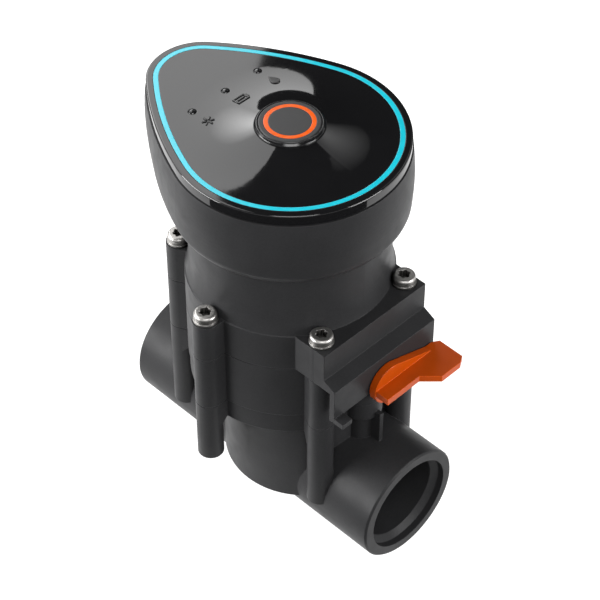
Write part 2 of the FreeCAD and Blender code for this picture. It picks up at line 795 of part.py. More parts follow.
# Diaphragm and the stack clamped on its middle
def stack_heights():
    washer = mm.seat_height + mm.seat_gap
    lower = washer + mm.washer_height
    sheet_low = lower + mm.holder_plate
    upper = sheet_low + mm.rubber
    return washer, lower, sheet_low, upper, upper + mm.upper_plate


def make_diaphragm_parts():
    washer, lower, sheet_low, upper, nut = stack_heights()
    hole = mm.bolt_shank + mm.screw_play
    low = mm.split_low - mm.bead_height
    high = mm.split_low + mm.bead_height
    roll = (mm.upper_plate_radius + mm.chamber_radius) / 2
    rubber = [
        (hole, sheet_low),
        (roll - mm.roll_half, sheet_low, mm.roll_round),
        (roll + mm.roll_half, sheet_low),
        (mm.bead_inner, sheet_low),
        (mm.bead_inner, low),
        (mm.bead_outer, low),
        (mm.bead_outer, high),
        (mm.bead_inner, high),
        (mm.bead_inner, upper),
        (roll + mm.roll_inner_half, upper, -mm.roll_inner_round),
        (roll - mm.roll_inner_half, upper),
        (hole, upper),
    ]
    place(turned("diaphragm", rubber))
    place(turned("seat_washer", tube_outline(hole, mm.washer_radius, washer, lower)))
    rim_inner = mm.washer_radius + mm.bead_play
    rim_outer = rim_inner + mm.holder_rim
    rim_floor = washer + mm.holder_rim
    holder = [
        (hole, lower),
        (rim_inner, lower),
        (rim_inner, rim_floor),
        (rim_outer, rim_floor),
        (rim_outer, sheet_low),
        (hole, sheet_low),
    ]
    place(turned("washer_holder", holder))
    place(turned("diaphragm_plate", tube_outline(hole, mm.upper_plate_radius, upper, nut)))
    head = washer - mm.bolt_head_height
    bolt = [
        (0.0, head),
        (mm.bolt_head, head),
        (mm.bolt_head, washer),
        (mm.bolt_shank, washer),
        (mm.bolt_shank, nut + mm.nut_height + mm.bolt_tail),
        (0.0, nut + mm.nut_height + mm.bolt_tail),
    ]
    place(turned("diaphragm_bolt", bolt))
    body = new_body("diaphragm_nut")
    corners = ring_of([30 + 60 * side for side in range(6)], mm.nut_radius)
    pad_up(body, corners, nut, nut + mm.nut_height)
    cut_disc(body, hole, nut + mm.nut_height, nut)
    place(body)


def arc_pair(start, start_way, end, end_way):
    """Two arcs of equal reach that join two points smoothly along their directions."""
    span = end - start
    ways = start_way + end_way
    a = ways.dot(ways) - 4
    b = -2 * span.dot(ways)
    reach = (-b - math.sqrt(b * b - 4 * a * span.dot(span))) / (2 * a)
    first_corner = start + start_way * reach
    last_corner = end - end_way * reach
    joint = (first_corner + last_corner) / 2
    arcs = []
    for low, corner, high in ((start, first_corner, joint), (joint, last_corner, end)):
        weight = (high - low).Length / (2 * reach)
        middle = (low + high + corner * (2 * weight)) / (2 + 2 * weight)
        arcs.append(Part.Arc(low, middle, high).toShape())
    return arcs


def coil_spring(radius, wire, floor, top, turns):
    """One unbroken round wire wound at an even pitch, resting on both its ends."""
    low = float(floor + wire)
    rise = (float(top - wire) - low) / turns
    steps = int(turns * 4)
    points = []
    for step in range(steps + 1):
        angle = math.pi / 2 * step
        point = Vector(radius * math.cos(angle), radius * math.sin(angle), low + rise * step / 4)
        way = Vector(-radius * math.sin(angle), radius * math.cos(angle), rise / (2 * math.pi)).normalize()
        points.append((point, way))
    edges = []
    for (start, start_way), (end, end_way) in zip(points, points[1:]):
        edges += arc_pair(start, start_way, end, end_way)
    section = Part.Wire([Part.makeCircle(wire, points[0][0], points[0][1])])
    print(f"coil: least gap between turns {rise - 2 * float(wire):.2f} mm")
    return Part.Wire(edges).makePipeShell([section], True, False)


def make_springs():
    nut = stack_heights()[-1]
    place(solid_part("closing_spring", coil_spring(
        mm.spring_radius, mm.spring_wire, nut, mm.web_floor, SIZES["spring_turns"])))
    low = mm.core_floor - mm.plunger_gap - mm.plunger_pocket
    place(solid_part("plunger_spring", coil_spring(
        mm.plunger_spring_radius, mm.plunger_spring_wire, low, mm.core_floor, SIZES["plunger_spring_turns"])))


# Latching solenoid that opens the pilot way
def make_solenoid():
    guide_outer = mm.guide_bore + mm.guide_wall
    flange_top = mm.web_top + mm.guide_flange_height
    guide = [
        (mm.guide_bore, mm.web_top),
        (mm.guide_flange, mm.web_top),
        (mm.guide_flange, flange_top),
        (guide_outer, flange_top),
        (guide_outer, mm.guide_top),
        (mm.guide_bore, mm.guide_top),
    ]
    place(turned("plunger_guide", guide))
    core_radius = mm.guide_bore - mm.screw_play
    place(turned("fixed_core", rectangle(0.0, core_radius, mm.core_floor, mm.guide_top)))
    seal_floor = mm.web_top + mm.pilot_boss + mm.screw_play
    seal_top = seal_floor + mm.pilot_seal
    plunger_floor = seal_floor + mm.pilot_seal / 2
    plunger_top = mm.core_floor - mm.plunger_gap
    plunger_radius = mm.guide_bore - mm.plunger_play
    pocket = mm.plunger_spring_radius + mm.plunger_spring_wire + mm.plunger_play
    plunger = [
        (0.0, seal_top),
        (pocket, seal_top),
        (pocket, plunger_floor),
        (plunger_radius, plunger_floor),
        (plunger_radius, plunger_top),
        (pocket, plunger_top),
        (pocket, plunger_top - mm.plunger_pocket),
        (0.0, plunger_top - mm.plunger_pocket),
    ]
    place(turned("plunger", plunger))
    place(turned("pilot_seal", rectangle(0.0, pocket, seal_floor, seal_top)))
    bobbin_inner = guide_outer + mm.screw_play
    hub = bobbin_inner + mm.bobbin_wall
    bobbin_top = mm.guide_top - mm.can_wall
    bobbin = [
        (bobbin_inner, flange_top),
        (mm.bobbin_radius, flange_top),
        (mm.bobbin_radius, flange_top + mm.bobbin_flange),
        (hub, flange_top + mm.bobbin_flange),
        (hub, bobbin_top - mm.bobbin_flange),
        (mm.bobbin_radius, bobbin_top - mm.bobbin_flange),
        (mm.bobbin_radius, bobbin_top),
        (bobbin_inner, bobbin_top),
    ]
    place(turned("bobbin", bobbin))
    coil_radius = mm.bobbin_radius - mm.coil_inset
    winding = tube_outline(hub, coil_radius, flange_top + mm.bobbin_flange, bobbin_top - mm.bobbin_flange)
    place(turned("coil_winding", winding))
    can = turned("solenoid_can", [
        (mm.can_inner, mm.web_top),
        (mm.can_outer, mm.web_top),
        (mm.can_outer, mm.guide_top),
        (bobbin_inner, mm.guide_top),
        (bobbin_inner, bobbin_top),
        (mm.can_inner, bobbin_top),
    ])
    screw_offset = mm.can_outer + mm.tab_screw_setback
    for side in (1, -1):
        ends = sorted(((mm.can_inner + mm.can_play) * side, (mm.can_outer + mm.tab_length) * side))
        tab = rectangle(-mm.tab_half_width, mm.tab_half_width, ends[0], ends[1])
        pad_up(can, tab, mm.web_top, mm.web_top + mm.can_wall)
        hole = sketch_on(can, "XY_Plane", mm.web_top + mm.can_wall)
        draw_circle(hole, 0.0, screw_offset * side, mm.small_screw + mm.screw_play)
        cut_down(can, hole, mm.can_wall)
    place(can)
    screw = small_screw(mm.tab_screw_reach)
    height = mm.web_top + mm.can_wall
    place(group("solenoid_screws", [moved(screw, 0, screw_offset * side, height) for side in (1, -1)]))
    magnet_top = mm.guide_top + mm.magnet_height
    place(turned("latch_magnet", rectangle(0.0, mm.magnet_radius, mm.guide_top, magnet_top)))
    board_top = magnet_top + mm.terminal_height
    place(turned("terminal_board", rectangle(0.0, mm.terminal_radius, magnet_top, board_top)))
    stud = Part.makeCylinder(mm.stud_radius, mm.stud_height)
    place(group("terminal_studs", [moved(stud, mm.stud_offset * side, 0, board_top) for side in (1, -1)]))
    return board_top + mm.stud_height


def torus_ring(label, middle, height, x=0.0):
    shape = Part.makeTorus(middle, mm.seal_cord - mm.seal_play, Vector(float(x), 0, float(height)))
    return place(solid_part(label, shape))


# Lever that opens the valve by hand, and its spindle
def make_lever():
    body = new_body("manual_lever")
    back = mm.lever_back
    hub = draw_circle(sketch_on(body, "YZ_Plane", back), 0.0, 0.0, mm.hub_radius)
    extruded(body, "Pad", hub, mm.hub_thickness)
    half = mm.blade_thickness / 2
    lean = mm.blade_web_lean
    web = [
        (upward(mm.hub_radius, lean), across(mm.hub_radius, lean)),
        (-mm.hub_radius / 2, 0.0),
        (mm.blade_web_end, 0.0),
        (mm.blade_web_end, half),
    ]
    extruded(body, "Pad", draw_outline(sketch_on(body, "YZ_Plane", back), web), mm.hub_thickness)
    front = back + mm.blade_depth
    reach = front + mm.blade_flare
    blade = [
        (back, mm.blade_root),
        (front, mm.blade_root),
        (front, mm.blade_shoulder),
        (reach, mm.blade_shoulder + mm.blade_flare),
        (reach, mm.blade_end - mm.blade_taper),
        (reach - mm.blade_corner, mm.blade_end),
        (back + mm.blade_corner, mm.blade_end),
        (back, mm.blade_end - mm.blade_taper),
    ]
    pad_up(body, blade, -half, half)
    return place(body, 0.0, 0.0, mm.lever_height)


def make_spindle():
    low = mm.pillar_offset - mm.spindle_tail
    high = mm.lever_back
    groove = mm.spindle_radius - mm.spindle_groove
    half = mm.spindle_groove / 2
    first = mm.pillar_offset + mm.spindle_ring_gap
    second = mm.pillar_offset - mm.spindle_ring_gap
    outline = [(0.0, low), (mm.spindle_radius, low)]
    for middle in (second, first):
        outline += [(mm.spindle_radius, middle - half), (groove, middle - half)]
        outline += [(groove, middle + half), (mm.spindle_radius, middle + half)]
    outline += [(mm.spindle_radius, high), (0.0, high)]
    body = turned("bleed_spindle", outline)
    port = sketch_on(body, "XZ_Plane")
    draw_circle(port, 0.0, mm.pillar_offset, mm.bleed_radius)
    cross = extruded(body, "Pocket", port, mm.spindle_radius * 2)
    cross.SideType = "Symmetric"
    sideways = Rotation(Vector(0, 1, 0), 90)
    place(body, 0.0, 0.0, mm.lever_height, sideways)
    rings = [Part.makeTorus(groove + half, half - mm.seal_play, Vector(0, 0, float(middle)))
             for middle in (first, second)]
    place(group("spindle_o_rings", rings), 0.0, 0.0, mm.lever_height, sideways)


# Control head: outlines that share one pear shape
def pear_wire(height, spread=0.0, radius=None, nose_radius=None, nose_offset=None):
    """The pear outline at a height: a large circle, a nose circle and two side arcs that touch both."""
    big = float(mm.outline_radius if radius is None else radius) + spread
    nose = float(mm.nose_radius if nose_radius is None else nose_radius) + spread
    offset = float(mm.nose_offset if nose_offset is None else nose_offset)
    side = float(mm.side_radius) + spread
    z = float(height)
    x = ((side - nose) ** 2 - (side - big) ** 2 - offset**2) / (2 * offset)
    centre = Vector(x, -math.sqrt((side - big) ** 2 - x**2), z)
    axis = Vector(0, 0, z)
    nose_centre = Vector(-offset, 0, z)
    big_touch = axis + (axis - centre).normalize() * big
    nose_touch = nose_centre + (nose_centre - centre).normalize() * nose
    outward = (big_touch - centre).normalize() + (nose_touch - centre).normalize()
    middle = centre + outward.normalize() * side
    def mirrored(point):
        return Vector(point.x, -point.y, point.z)
    arcs = [
        (mirrored(big_touch), Vector(big, 0, z), big_touch),
        (big_touch, middle, nose_touch),
        (nose_touch, Vector(-offset - nose, 0, z), mirrored(nose_touch)),
        (mirrored(nose_touch), mirrored(middle), mirrored(big_touch)),
    ]
    return Part.Wire([Part.Arc(*points).toShape() for points in arcs])


def pear_slab(spread, floor, top):
    return Part.Face(pear_wire(floor, float(spread))).extrude(Vector(0, 0, float(top - floor)))


def pear_band(outer, inner, floor, top):
    return pear_slab(outer, floor, top).cut(pear_slab(inner, floor, top))


def disc(radius, floor, top, x=0.0, y=0.0):
    return Part.makeCylinder(float(radius), float(top - floor), Vector(float(x), float(y), float(floor)))


def shell_keys():
    """Section sizes of the shell at its four key heights: height, radius, nose radius, nose offset."""
    return [
        (mm.waist_height - mm.skirt_height, mm.neck_radius + mm.skirt_lip, mm.skirt_nose_radius,
         mm.skirt_nose_offset),
        (mm.waist_height, mm.outline_radius + mm.waist_spread, mm.nose_radius + mm.waist_nose_spread,
         mm.nose_offset - mm.waist_nose_pull),
        (mm.belly_height, mm.outline_radius + mm.belly_spread, mm.nose_radius + mm.belly_spread,
         mm.nose_offset),
        (mm.shell_rim, mm.outline_radius + mm.rim_spread, mm.nose_radius + mm.rim_spread, mm.nose_offset),
    ]


def shell_section(height, inset):
    """The shell's outline at a height. Its sizes run straight between the key heights, and turn in a
    parabola at the waist, from the skirt's edge up, and at the belly."""
    keys = shell_keys()
    rounds = {1: mm.skirt_height, 2: mm.belly_round}

    def straight(z, column):
        low, high = next((a, b) for a, b in zip(keys, keys[1:]) if z <= b[0] or b is keys[-1])
        return low[column] + (high[column] - low[column]) * ((z - low[0]) / (high[0] - low[0]))

    def turning(column):
        for number, reach in rounds.items():
            centre = float(keys[number][0])
            if abs(height - centre) < reach:
                share = (height - centre + reach) / (2 * reach)
                corner = keys[number][column] * 2 * share * (1 - share)
                before = straight(centre - reach, column) * (1 - share)**2
                return before + corner + straight(centre + reach, column) * share**2
        return straight(height, column)

    return pear_wire(height, -inset, *[float(turning(column)) for column in (1, 2, 3)])


def shell_loft(floor, inset):
    """A solid through the shell's sections from a height up to its rim, with eight narrow strips
    round each turn."""
    corners = [(mm.waist_height, mm.skirt_height), (mm.belly_height, mm.belly_round)]
    heights = [height + reach * step / 4 for height, reach in corners for step in range(-4, 5)]
    heights = [float(floor)] + [float(height) for height in heights if height > floor + mm.joint_gap]
    wires = [shell_section(height, inset) for height in heights + [float(mm.shell_rim)]]
    return Part.makeLoft(wires, True, True)


def make_head_shell():
    skirt = mm.waist_height - mm.skirt_height
    shell = shell_loft(skirt, 0.0).cut(shell_loft(mm.neck_top, float(mm.shell_wall)))
    shell = shell.cut(disc(mm.neck_radius + mm.head_play, skirt, mm.neck_top))
    depth = mm.base_screw_reach - mm.base_flange + mm.screw_play
    for x, y in ring_of(BASE_SCREW_ANGLES, mm.base_screw_circle):
        shell = shell.cut(disc(mm.small_screw + mm.screw_play, mm.neck_top - depth, mm.neck_top, x, y))
    place(solid_part("head_shell", shell))


def make_lid():
    floor = mm.lid_floor
    top = mm.lid_top
    plate = pear_slab(mm.lid_spread, floor, top)
    rim = [edge for edge in plate.Edges if all(abs(vertex.Point.z - top) < 0.001 for vertex in edge.Vertexes)]
    plate = plate.makeFillet(mm.lid_edge, rim)
    # The lid rises in one hollow curve, from its flat inside the light ring up to the bezel
    low = Vector(float(mm.outline_radius - mm.ring_width / 2 - mm.dome_inset), 0, float(top))
    high = Vector(float(mm.bezel_radius + mm.bezel_play), 0, float(top + mm.dome_rise))
    bend = ((low.x - high.x) ** 2 + mm.dome_rise**2) / (2 * mm.dome_rise)
    centre = low + Vector(0, 0, float(bend))
    middle = centre + ((low + high) / 2 - centre).normalize() * float(bend)
    base = Vector(low.x, 0, float(top - mm.lid_edge))
    axis_low = Vector(0, 0, base.z)
    axis_high = Vector(0, 0, high.z)
    edges = [Part.makeLine(axis_low, base), Part.makeLine(base, low), Part.Arc(low, middle, high).toShape(),
             Part.makeLine(high, axis_high), Part.makeLine(axis_high, axis_low)]
    dome = Part.Face(Part.Wire(edges)).revolve(Vector(), Vector(0, 0, 1), 360)
    lid = plate.fuse(dome).removeSplitter()
    lid = lid.cut(pear_slab(mm.lid_spread - mm.lid_thickness, floor, top - mm.lid_thickness))
    well = mm.bezel_radius + mm.crest_land
    lid = lid.cut(disc(well, floor, top + mm.bezel_floor - mm.bezel_play))
    lid = lid.cut(disc(mm.bezel_radius + mm.bezel_play, floor, top + mm.dome_rise))
    half = mm.ring_width / 2
    lid = lid.cut(pear_band(half, -half, top - mm.ring_depth, top))
    for step in LED_PLACES:
        above = top + mm.led_crown
        lid = lid.cut(disc(mm.led_radius + mm.led_play, floor, above, -mm.led_row, mm.led_pitch * step))
    place(solid_part("head_lid", lid))
    place(solid_part("light_ring", pear_band(half, -half, top - mm.ring_depth, top)))
    outer = mm.lid_spread - mm.gasket_inset
    place(solid_part("lid_gasket", pear_band(outer, outer - mm.gasket_width, mm.shell_rim, floor)))


def make_button():
    bezel_top = mm.lid_top + mm.dome_rise + mm.bezel_proud
    bezel_floor = mm.lid_top + mm.bezel_floor
    hole = mm.bezel_radius - mm.bezel_wall
    place(turned("button_bezel", [
        (hole, bezel_floor),
        (mm.bezel_radius, bezel_floor),
        (mm.bezel_radius, bezel_top - mm.bezel_chamfer),
        (mm.bezel_radius - mm.bezel_chamfer, bezel_top),
        (hole, bezel_top),
    ]))
    cap_top = bezel_top + mm.cap_proud
    cap_radius = hole - mm.cap_play
    flange_top = bezel_floor - mm.bezel_play
    cap_floor = flange_top - mm.cap_flange_height
    switch_top = mm.board_top + mm.switch_height
    stem_floor = switch_top + mm.switch_stem_depth
    halo_floor = cap_top - mm.halo_depth
    halo_outer = mm.halo_inner + mm.halo_width
    place(turned("button_cap", [
        (0.0, stem_floor),
        (mm.cap_stem, stem_floor),
        (mm.cap_stem, cap_floor),
        (mm.bezel_radius - mm.cap_play, cap_floor),
        (mm.bezel_radius - mm.cap_play, flange_top),
        (cap_radius, flange_top),
        (cap_radius, cap_top - mm.cap_edge),
        (cap_radius - mm.cap_edge, cap_top),
        (halo_outer, cap_top),
        (halo_outer, halo_floor),
        (mm.halo_inner, halo_floor),
        (mm.halo_inner, cap_top),
        (0.0, cap_top),
    ]))
    place(turned("button_light_ring", tube_outline(mm.halo_inner, halo_outer, halo_floor, cap_top)))
    stem_low = switch_top - mm.switch_stem_depth
    place(turned("switch_stem", rectangle(0.0, mm.switch_stem, stem_low, stem_floor)))
    switch = new_body("push_switch")
    half = mm.switch_size / 2
    pad_up(switch, rectangle(-half, half, -half, half), mm.board_top, switch_top)
    well = stem_low - mm.button_travel - mm.switch_stem_play
    cut_disc(switch, mm.switch_stem + mm.switch_stem_play, switch_top, well)
    place(switch)


def make_head_inside(stud_top):
    floor_top = mm.base_floor + mm.base_floor_thickness
    flange_top = mm.neck_top + mm.base_flange
    flange_radius = mm.base_screw_circle + mm.base_screw_inset
    radius = mm.neck_bore - mm.head_play
    inner = radius - mm.base_wall
    groove = mm.neck_bore - mm.seal_cord * 2
    seal_middle = mm.base_floor + mm.base_floor_thickness / 2
    base = turned("head_base", [
        (0.0, mm.base_floor),
        (radius, mm.base_floor),
        (radius, seal_middle - mm.seal_cord),
        (groove, seal_middle - mm.seal_cord),
        (groove, seal_middle + mm.seal_cord),
        (radius, seal_middle + mm.seal_cord),
        (radius, mm.neck_top),
        (flange_radius, mm.neck_top),
        (flange_radius, flange_top),
        (inner, flange_top),
        (inner, floor_top),
        (0.0, floor_top),
    ])
    hole = mm.small_screw + mm.screw_play
    for angle in STANDOFF_ANGLES:
        spot = sketch_on(base, "XY_Plane", mm.neck_top, angle)
        draw_circle(spot, mm.standoff_circle, 0.0, mm.standoff_radius)
        extruded(base, "Pad", spot, mm.board_floor - mm.neck_top)
        spot = sketch_on(base, "XY_Plane", mm.board_floor, angle)
        draw_circle(spot, mm.standoff_circle, 0.0, hole)
        cut_down(base, spot, mm.board_screw_reach)
    for angle in BASE_SCREW_ANGLES:
        spot = sketch_on(base, "XY_Plane", flange_top, angle)
        draw_circle(spot, mm.base_screw_circle, 0.0, hole)
        cut_down(base, spot, mm.base_flange)
    for side in (1, -1):
        cut_disc(base, mm.pin_radius + mm.screw_play, floor_top, mm.base_floor, mm.stud_offset * side)
    place(base)
    torus_ring("head_o_ring", groove + mm.seal_cord, seal_middle)
    screw = small_screw(mm.base_screw_reach)
    places = ring_of(BASE_SCREW_ANGLES, mm.base_screw_circle)
    place(group("base_screws", [moved(screw, x, y, flange_top) for x, y in places]))
    pin = disc(mm.pin_radius, stud_top + mm.bead_play, floor_top)
    place(group("contact_pins", [moved(pin, mm.stud_offset * side) for side in (1, -1)]))
    # Block battery on its cradle, with the snap clasp on its two studs
    half_width = mm.battery_width / 2
    lip = half_width + mm.bead_play
    wall = mm.cradle_thickness
    cradle = new_body("battery_cradle")
    trough = [
        (-lip - wall, floor_top),
        (lip + wall, floor_top),
        (lip + wall, floor_top + mm.cradle_lip),
        (lip, floor_top + mm.cradle_lip),
        (lip, floor_top + wall),
        (-lip, floor_top + wall),
        (-lip, floor_top + mm.cradle_lip),
        (-lip - wall, floor_top + mm.cradle_lip),
    ]
    back = -mm.battery_length / 2 - mm.battery_shift
    front = back + mm.battery_length
    spot = draw_outline(sketch_on(cradle, "YZ_Plane", back + mm.cradle_inset), trough)
    extruded(cradle, "Pad", spot, mm.battery_length - mm.cradle_inset * 2)
    place(cradle)
    low = floor_top + wall
    battery = new_body("battery")
    block = rectangle(-half_width, half_width, low, low + mm.battery_height)
    spot = draw_outline(sketch_on(battery, "YZ_Plane", back), block)
    extruded(battery, "Pad", spot, mm.battery_length)
    middle = low + mm.battery_height / 2
    for side in (1, -1):
        stud = sketch_on(battery, "YZ_Plane", front)
        draw_circle(stud, mm.terminal_spacing / 2 * side, middle, mm.battery_stud)
        extruded(battery, "Pad", stud, mm.terminal_length)
    place(battery)
    clasp = new_body("battery_clasp")
    half = mm.clasp_width / 2
    outline = rectangle(-half, half, middle - half / 2, middle + half / 2)
    spot = draw_outline(sketch_on(clasp, "YZ_Plane", front + mm.terminal_length), outline)
    extruded(clasp, "Pad", spot, mm.clasp_thickness)
    place(clasp)
    # Circuit board with its lamps and radio module
    spread = mm.rim_spread - mm.shell_wall - mm.board_play
    board = pear_slab(spread, mm.board_floor, mm.board_top)
    places = ring_of(STANDOFF_ANGLES, mm.standoff_circle)
    for x, y in places:
        board = board.cut(disc(hole, mm.board_floor, mm.board_top, x, y))
    place(solid_part("circuit_board", board))
    screw = small_screw(mm.board_screw_reach)
    place(group("board_screws", [moved(screw, x, y, mm.board_top) for x, y in places]))
    size = float(mm.chip_size)
    chip = Part.makeBox(size, size, float(mm.chip_height), Vector(-size / 2, -size / 2, 0))
    spots = [(-mm.led_row, mm.led_pitch * step) for step in LED_PLACES]
    place(group("led_chips", [moved(chip, x, y, mm.board_top) for x, y in spots]))
    # Each light pipe ends in a small dome that stands out of the lid
    pipe_top = mm.lid_top + mm.led_crown
    ball = float((mm.led_radius * mm.led_radius + mm.led_crown * mm.led_crown) / mm.led_crown / 2)
    pipe = disc(mm.led_radius, mm.board_top + mm.chip_height, mm.lid_top)
    dome = disc(mm.led_radius, mm.lid_top, pipe_top)
    dome = dome.common(Part.makeSphere(ball, Vector(0, 0, float(pipe_top) - ball)))
    pipe = pipe.fuse(dome).removeSplitter()
    place(group("led_light_pipes", [moved(pipe, x, y) for x, y in spots]))
    module = new_body("radio_module")
    module_front = -mm.led_row - mm.led_radius - mm.module_gap
    half_width = mm.module_width / 2
    outline = rectangle(module_front - mm.module_length, module_front, -half_width, half_width)
    pad_up(module, outline, mm.board_top, mm.board_top + mm.module_height)
    place(module)


make_valve_body()
make_middle_ring()
make_bonnet()
bonnet_screw = make_bonnet_screw()
make_diaphragm_parts()
make_springs()
torus_ring("bonnet_o_ring", mm.bonnet_seal, mm.split_high - mm.seal_cord)
torus_ring("pillar_o_ring", mm.pillar_seal, mm.split_low - mm.seal_cord, mm.pillar_offset)
torus_ring("solenoid_o_ring", mm.guide_seal, mm.web_top - mm.seal_cord)
studs_top = make_solenoid()
make_lever()
make_spindle()
make_head_shell()
make_lid()
make_button()
make_head_inside(studs_top)
doc.recompute()
screws = [moved(bonnet_screw.Shape, x, y, mm.flange_top) for x, y in ring_of(POST_ANGLES, mm.bolt_radius)]
place(group("bonnet_screws", screws))
doc.recompute()

failed = [item.Label for item in doc.Objects if "Invalid" in item.State or "Error" in item.State]
if failed:
    raise RuntimeError(f"these did not build: {failed}")
os.makedirs("parts", exist_ok=True)
for item in sub_parts:
    shape = item.Shape
    if shape.isNull() or not shape.isValid():
        raise RuntimeError(f"{item.Label} has no valid shape")
    shape.exportStep(f"parts/{item.Label}.step")
    box = shape.BoundBox
    spans = ((box.XMin, box.XMax), (box.YMin, box.YMax), (box.ZMin, box.ZMax))
    reach = ", ".join(f"{low:.1f} to {high:.1f}" for low, high in spans)
    print(f"{item.Label}: {len(shape.Solids)} solids, {shape.Volume:.1f} mm3, {reach}")
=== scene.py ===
"""Looks of a smart irrigation valve, laid out as a Blender add-on and run as a script."""

import math

import bmesh
import bpy
from bpy.props import FloatProperty, FloatVectorProperty, PointerProperty
from mathutils import Matrix, Vector


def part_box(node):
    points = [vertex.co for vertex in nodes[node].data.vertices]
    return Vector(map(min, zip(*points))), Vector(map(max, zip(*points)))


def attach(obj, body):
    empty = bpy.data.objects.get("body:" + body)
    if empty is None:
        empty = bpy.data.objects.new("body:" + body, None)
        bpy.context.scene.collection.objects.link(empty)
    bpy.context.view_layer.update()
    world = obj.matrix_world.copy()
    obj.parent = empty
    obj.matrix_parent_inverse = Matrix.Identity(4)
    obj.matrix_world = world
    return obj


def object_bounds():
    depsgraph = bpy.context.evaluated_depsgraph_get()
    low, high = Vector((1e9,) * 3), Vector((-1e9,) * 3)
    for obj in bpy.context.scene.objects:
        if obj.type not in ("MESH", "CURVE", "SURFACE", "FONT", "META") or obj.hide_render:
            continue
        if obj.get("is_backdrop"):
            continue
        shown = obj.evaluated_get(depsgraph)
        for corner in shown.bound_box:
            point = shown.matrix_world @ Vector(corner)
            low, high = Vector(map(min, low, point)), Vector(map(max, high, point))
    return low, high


bl_info = {
    "name": "Irrigation valve looks",
    "version": (1, 0, 0),
    "blender": (4, 5, 0),
    "location": "View3D > Sidebar > Valve",
    "description": "Dresses the valve's solids in their real materials and sets up a plain studio",
    "category": "Object",
}

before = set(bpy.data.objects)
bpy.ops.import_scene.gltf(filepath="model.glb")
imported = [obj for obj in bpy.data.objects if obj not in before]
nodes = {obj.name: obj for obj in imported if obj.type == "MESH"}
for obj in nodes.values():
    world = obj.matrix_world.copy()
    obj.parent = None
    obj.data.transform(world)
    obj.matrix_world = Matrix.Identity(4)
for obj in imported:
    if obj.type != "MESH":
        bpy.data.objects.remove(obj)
cad_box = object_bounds()

MM = 0.001


def linear(hex_colour):
    """The linear red, green and blue of an sRGB colour written as #rrggbb."""
    parts = [int(hex_colour[start:start + 2], 16) / 255 for start in (1, 3, 5)]
    return tuple(part / 12.92 if part <= 0.04045 else ((part + 0.055) / 1.055) ** 2.4 for part in parts)


def colour_setting(name, description, hex_colour):
    return FloatVectorProperty(
        name=name, description=description, default=linear(hex_colour), subtype="COLOR", min=0.0, max=1.0)


def length_setting(name, description, millimetres):
    return FloatProperty(
        name=name, description=description, default=millimetres * MM, unit="LENGTH", subtype="DISTANCE",
        min=0.0, precision=5)


def brightness_setting(name, description, level):
    return FloatProperty(name=name, description=description, default=level, min=0.0)


# What a user would change

class ValveColours(bpy.types.PropertyGroup):
    """Colours of the valve's materials"""
    housing: colour_setting("Housing", "Glass-filled nylon of the body, ring, bonnet and head", "#262627")
    lid: colour_setting("Lid", "Polished plastic of the lid and the ring round the button", "#121213")
    button: colour_setting("Button", "Satin plastic of the button", "#151516")
    light_ring: colour_setting("Light ring", "Light guide round the lid", "#14a0b0")
    button_ring: colour_setting("Button ring", "Light guide in the button", "#c24c08")
    lever: colour_setting("Lever", "Acetal of the hand lever", "#a84001")
    lamp_tips: colour_setting("Lamp tips", "Smoked light pipes in the lid", "#161617")
    symbols: colour_setting("Symbols", "Raised symbols on the lid", "#101011")
    steel: colour_setting("Steel", "Stainless screws and springs", "#a9a7a4")
    rubber: colour_setting("Rubber", "Seals and diaphragm", "#1b1b1c")
    inner_nylon: colour_setting("Inner nylon", "Mouldings inside the valve and the head", "#2a2a2c")
    copper: colour_setting("Copper", "Enamelled wire of the coil", "#b4602c")
    zinc: colour_setting("Zinc", "Plated steel of the coil's iron parts", "#a9abad")
    brass: colour_setting("Brass", "Contact pins and studs", "#cda24a")
    board: colour_setting("Board", "Solder resist of the circuit board", "#0f4a26")
    battery: colour_setting("Battery", "Lacquered can of the block battery", "#2b2f38")
    lamp_chips: colour_setting("Lamp chips", "Phosphor of the small lamps", "#e6dfb8")
    switch_stem: colour_setting("Switch stem", "Cream nylon of the switch", "#cfc7b0")
    magnet: colour_setting("Magnet", "Nickel plate of the latch magnet", "#8d8c88")


class ValveSizes(bpy.types.PropertyGroup):
    """Sizes of the details added to the solids"""
    edge_radius: length_setting("Edge radius", "Rounding that a moulded edge shows in the light", 0.35)
    metal_edge: length_setting("Metal edge", "Rounding that a screw's edge shows in the light", 0.2)
    grain: length_setting("Grain", "Spacing of the spark-eroded grain on the housing", 0.7)
    grain_depth: length_setting("Grain depth", "Depth of the grain on the housing", 0.008)
    symbol_rise: length_setting("Symbol rise", "Height of the symbols above the lid", 0.3)
    symbol_distance: length_setting("Symbol distance", "From a lamp's middle to its symbol's middle", 7.0)
    stroke: length_setting("Stroke", "Width of the symbols' lines", 0.5)
    battery_length: length_setting("Battery symbol length", "Length of the battery symbol", 4.7)
    battery_width: length_setting("Battery symbol width", "Width of the battery symbol", 3.1)
    drop_length: length_setting("Drop symbol length", "Length of the water drop", 4.6)
    drop_width: length_setting("Drop symbol width", "Width of the water drop", 3.1)
    flake_radius: length_setting("Flake symbol radius", "Reach of the frost symbol's arms", 2.0)


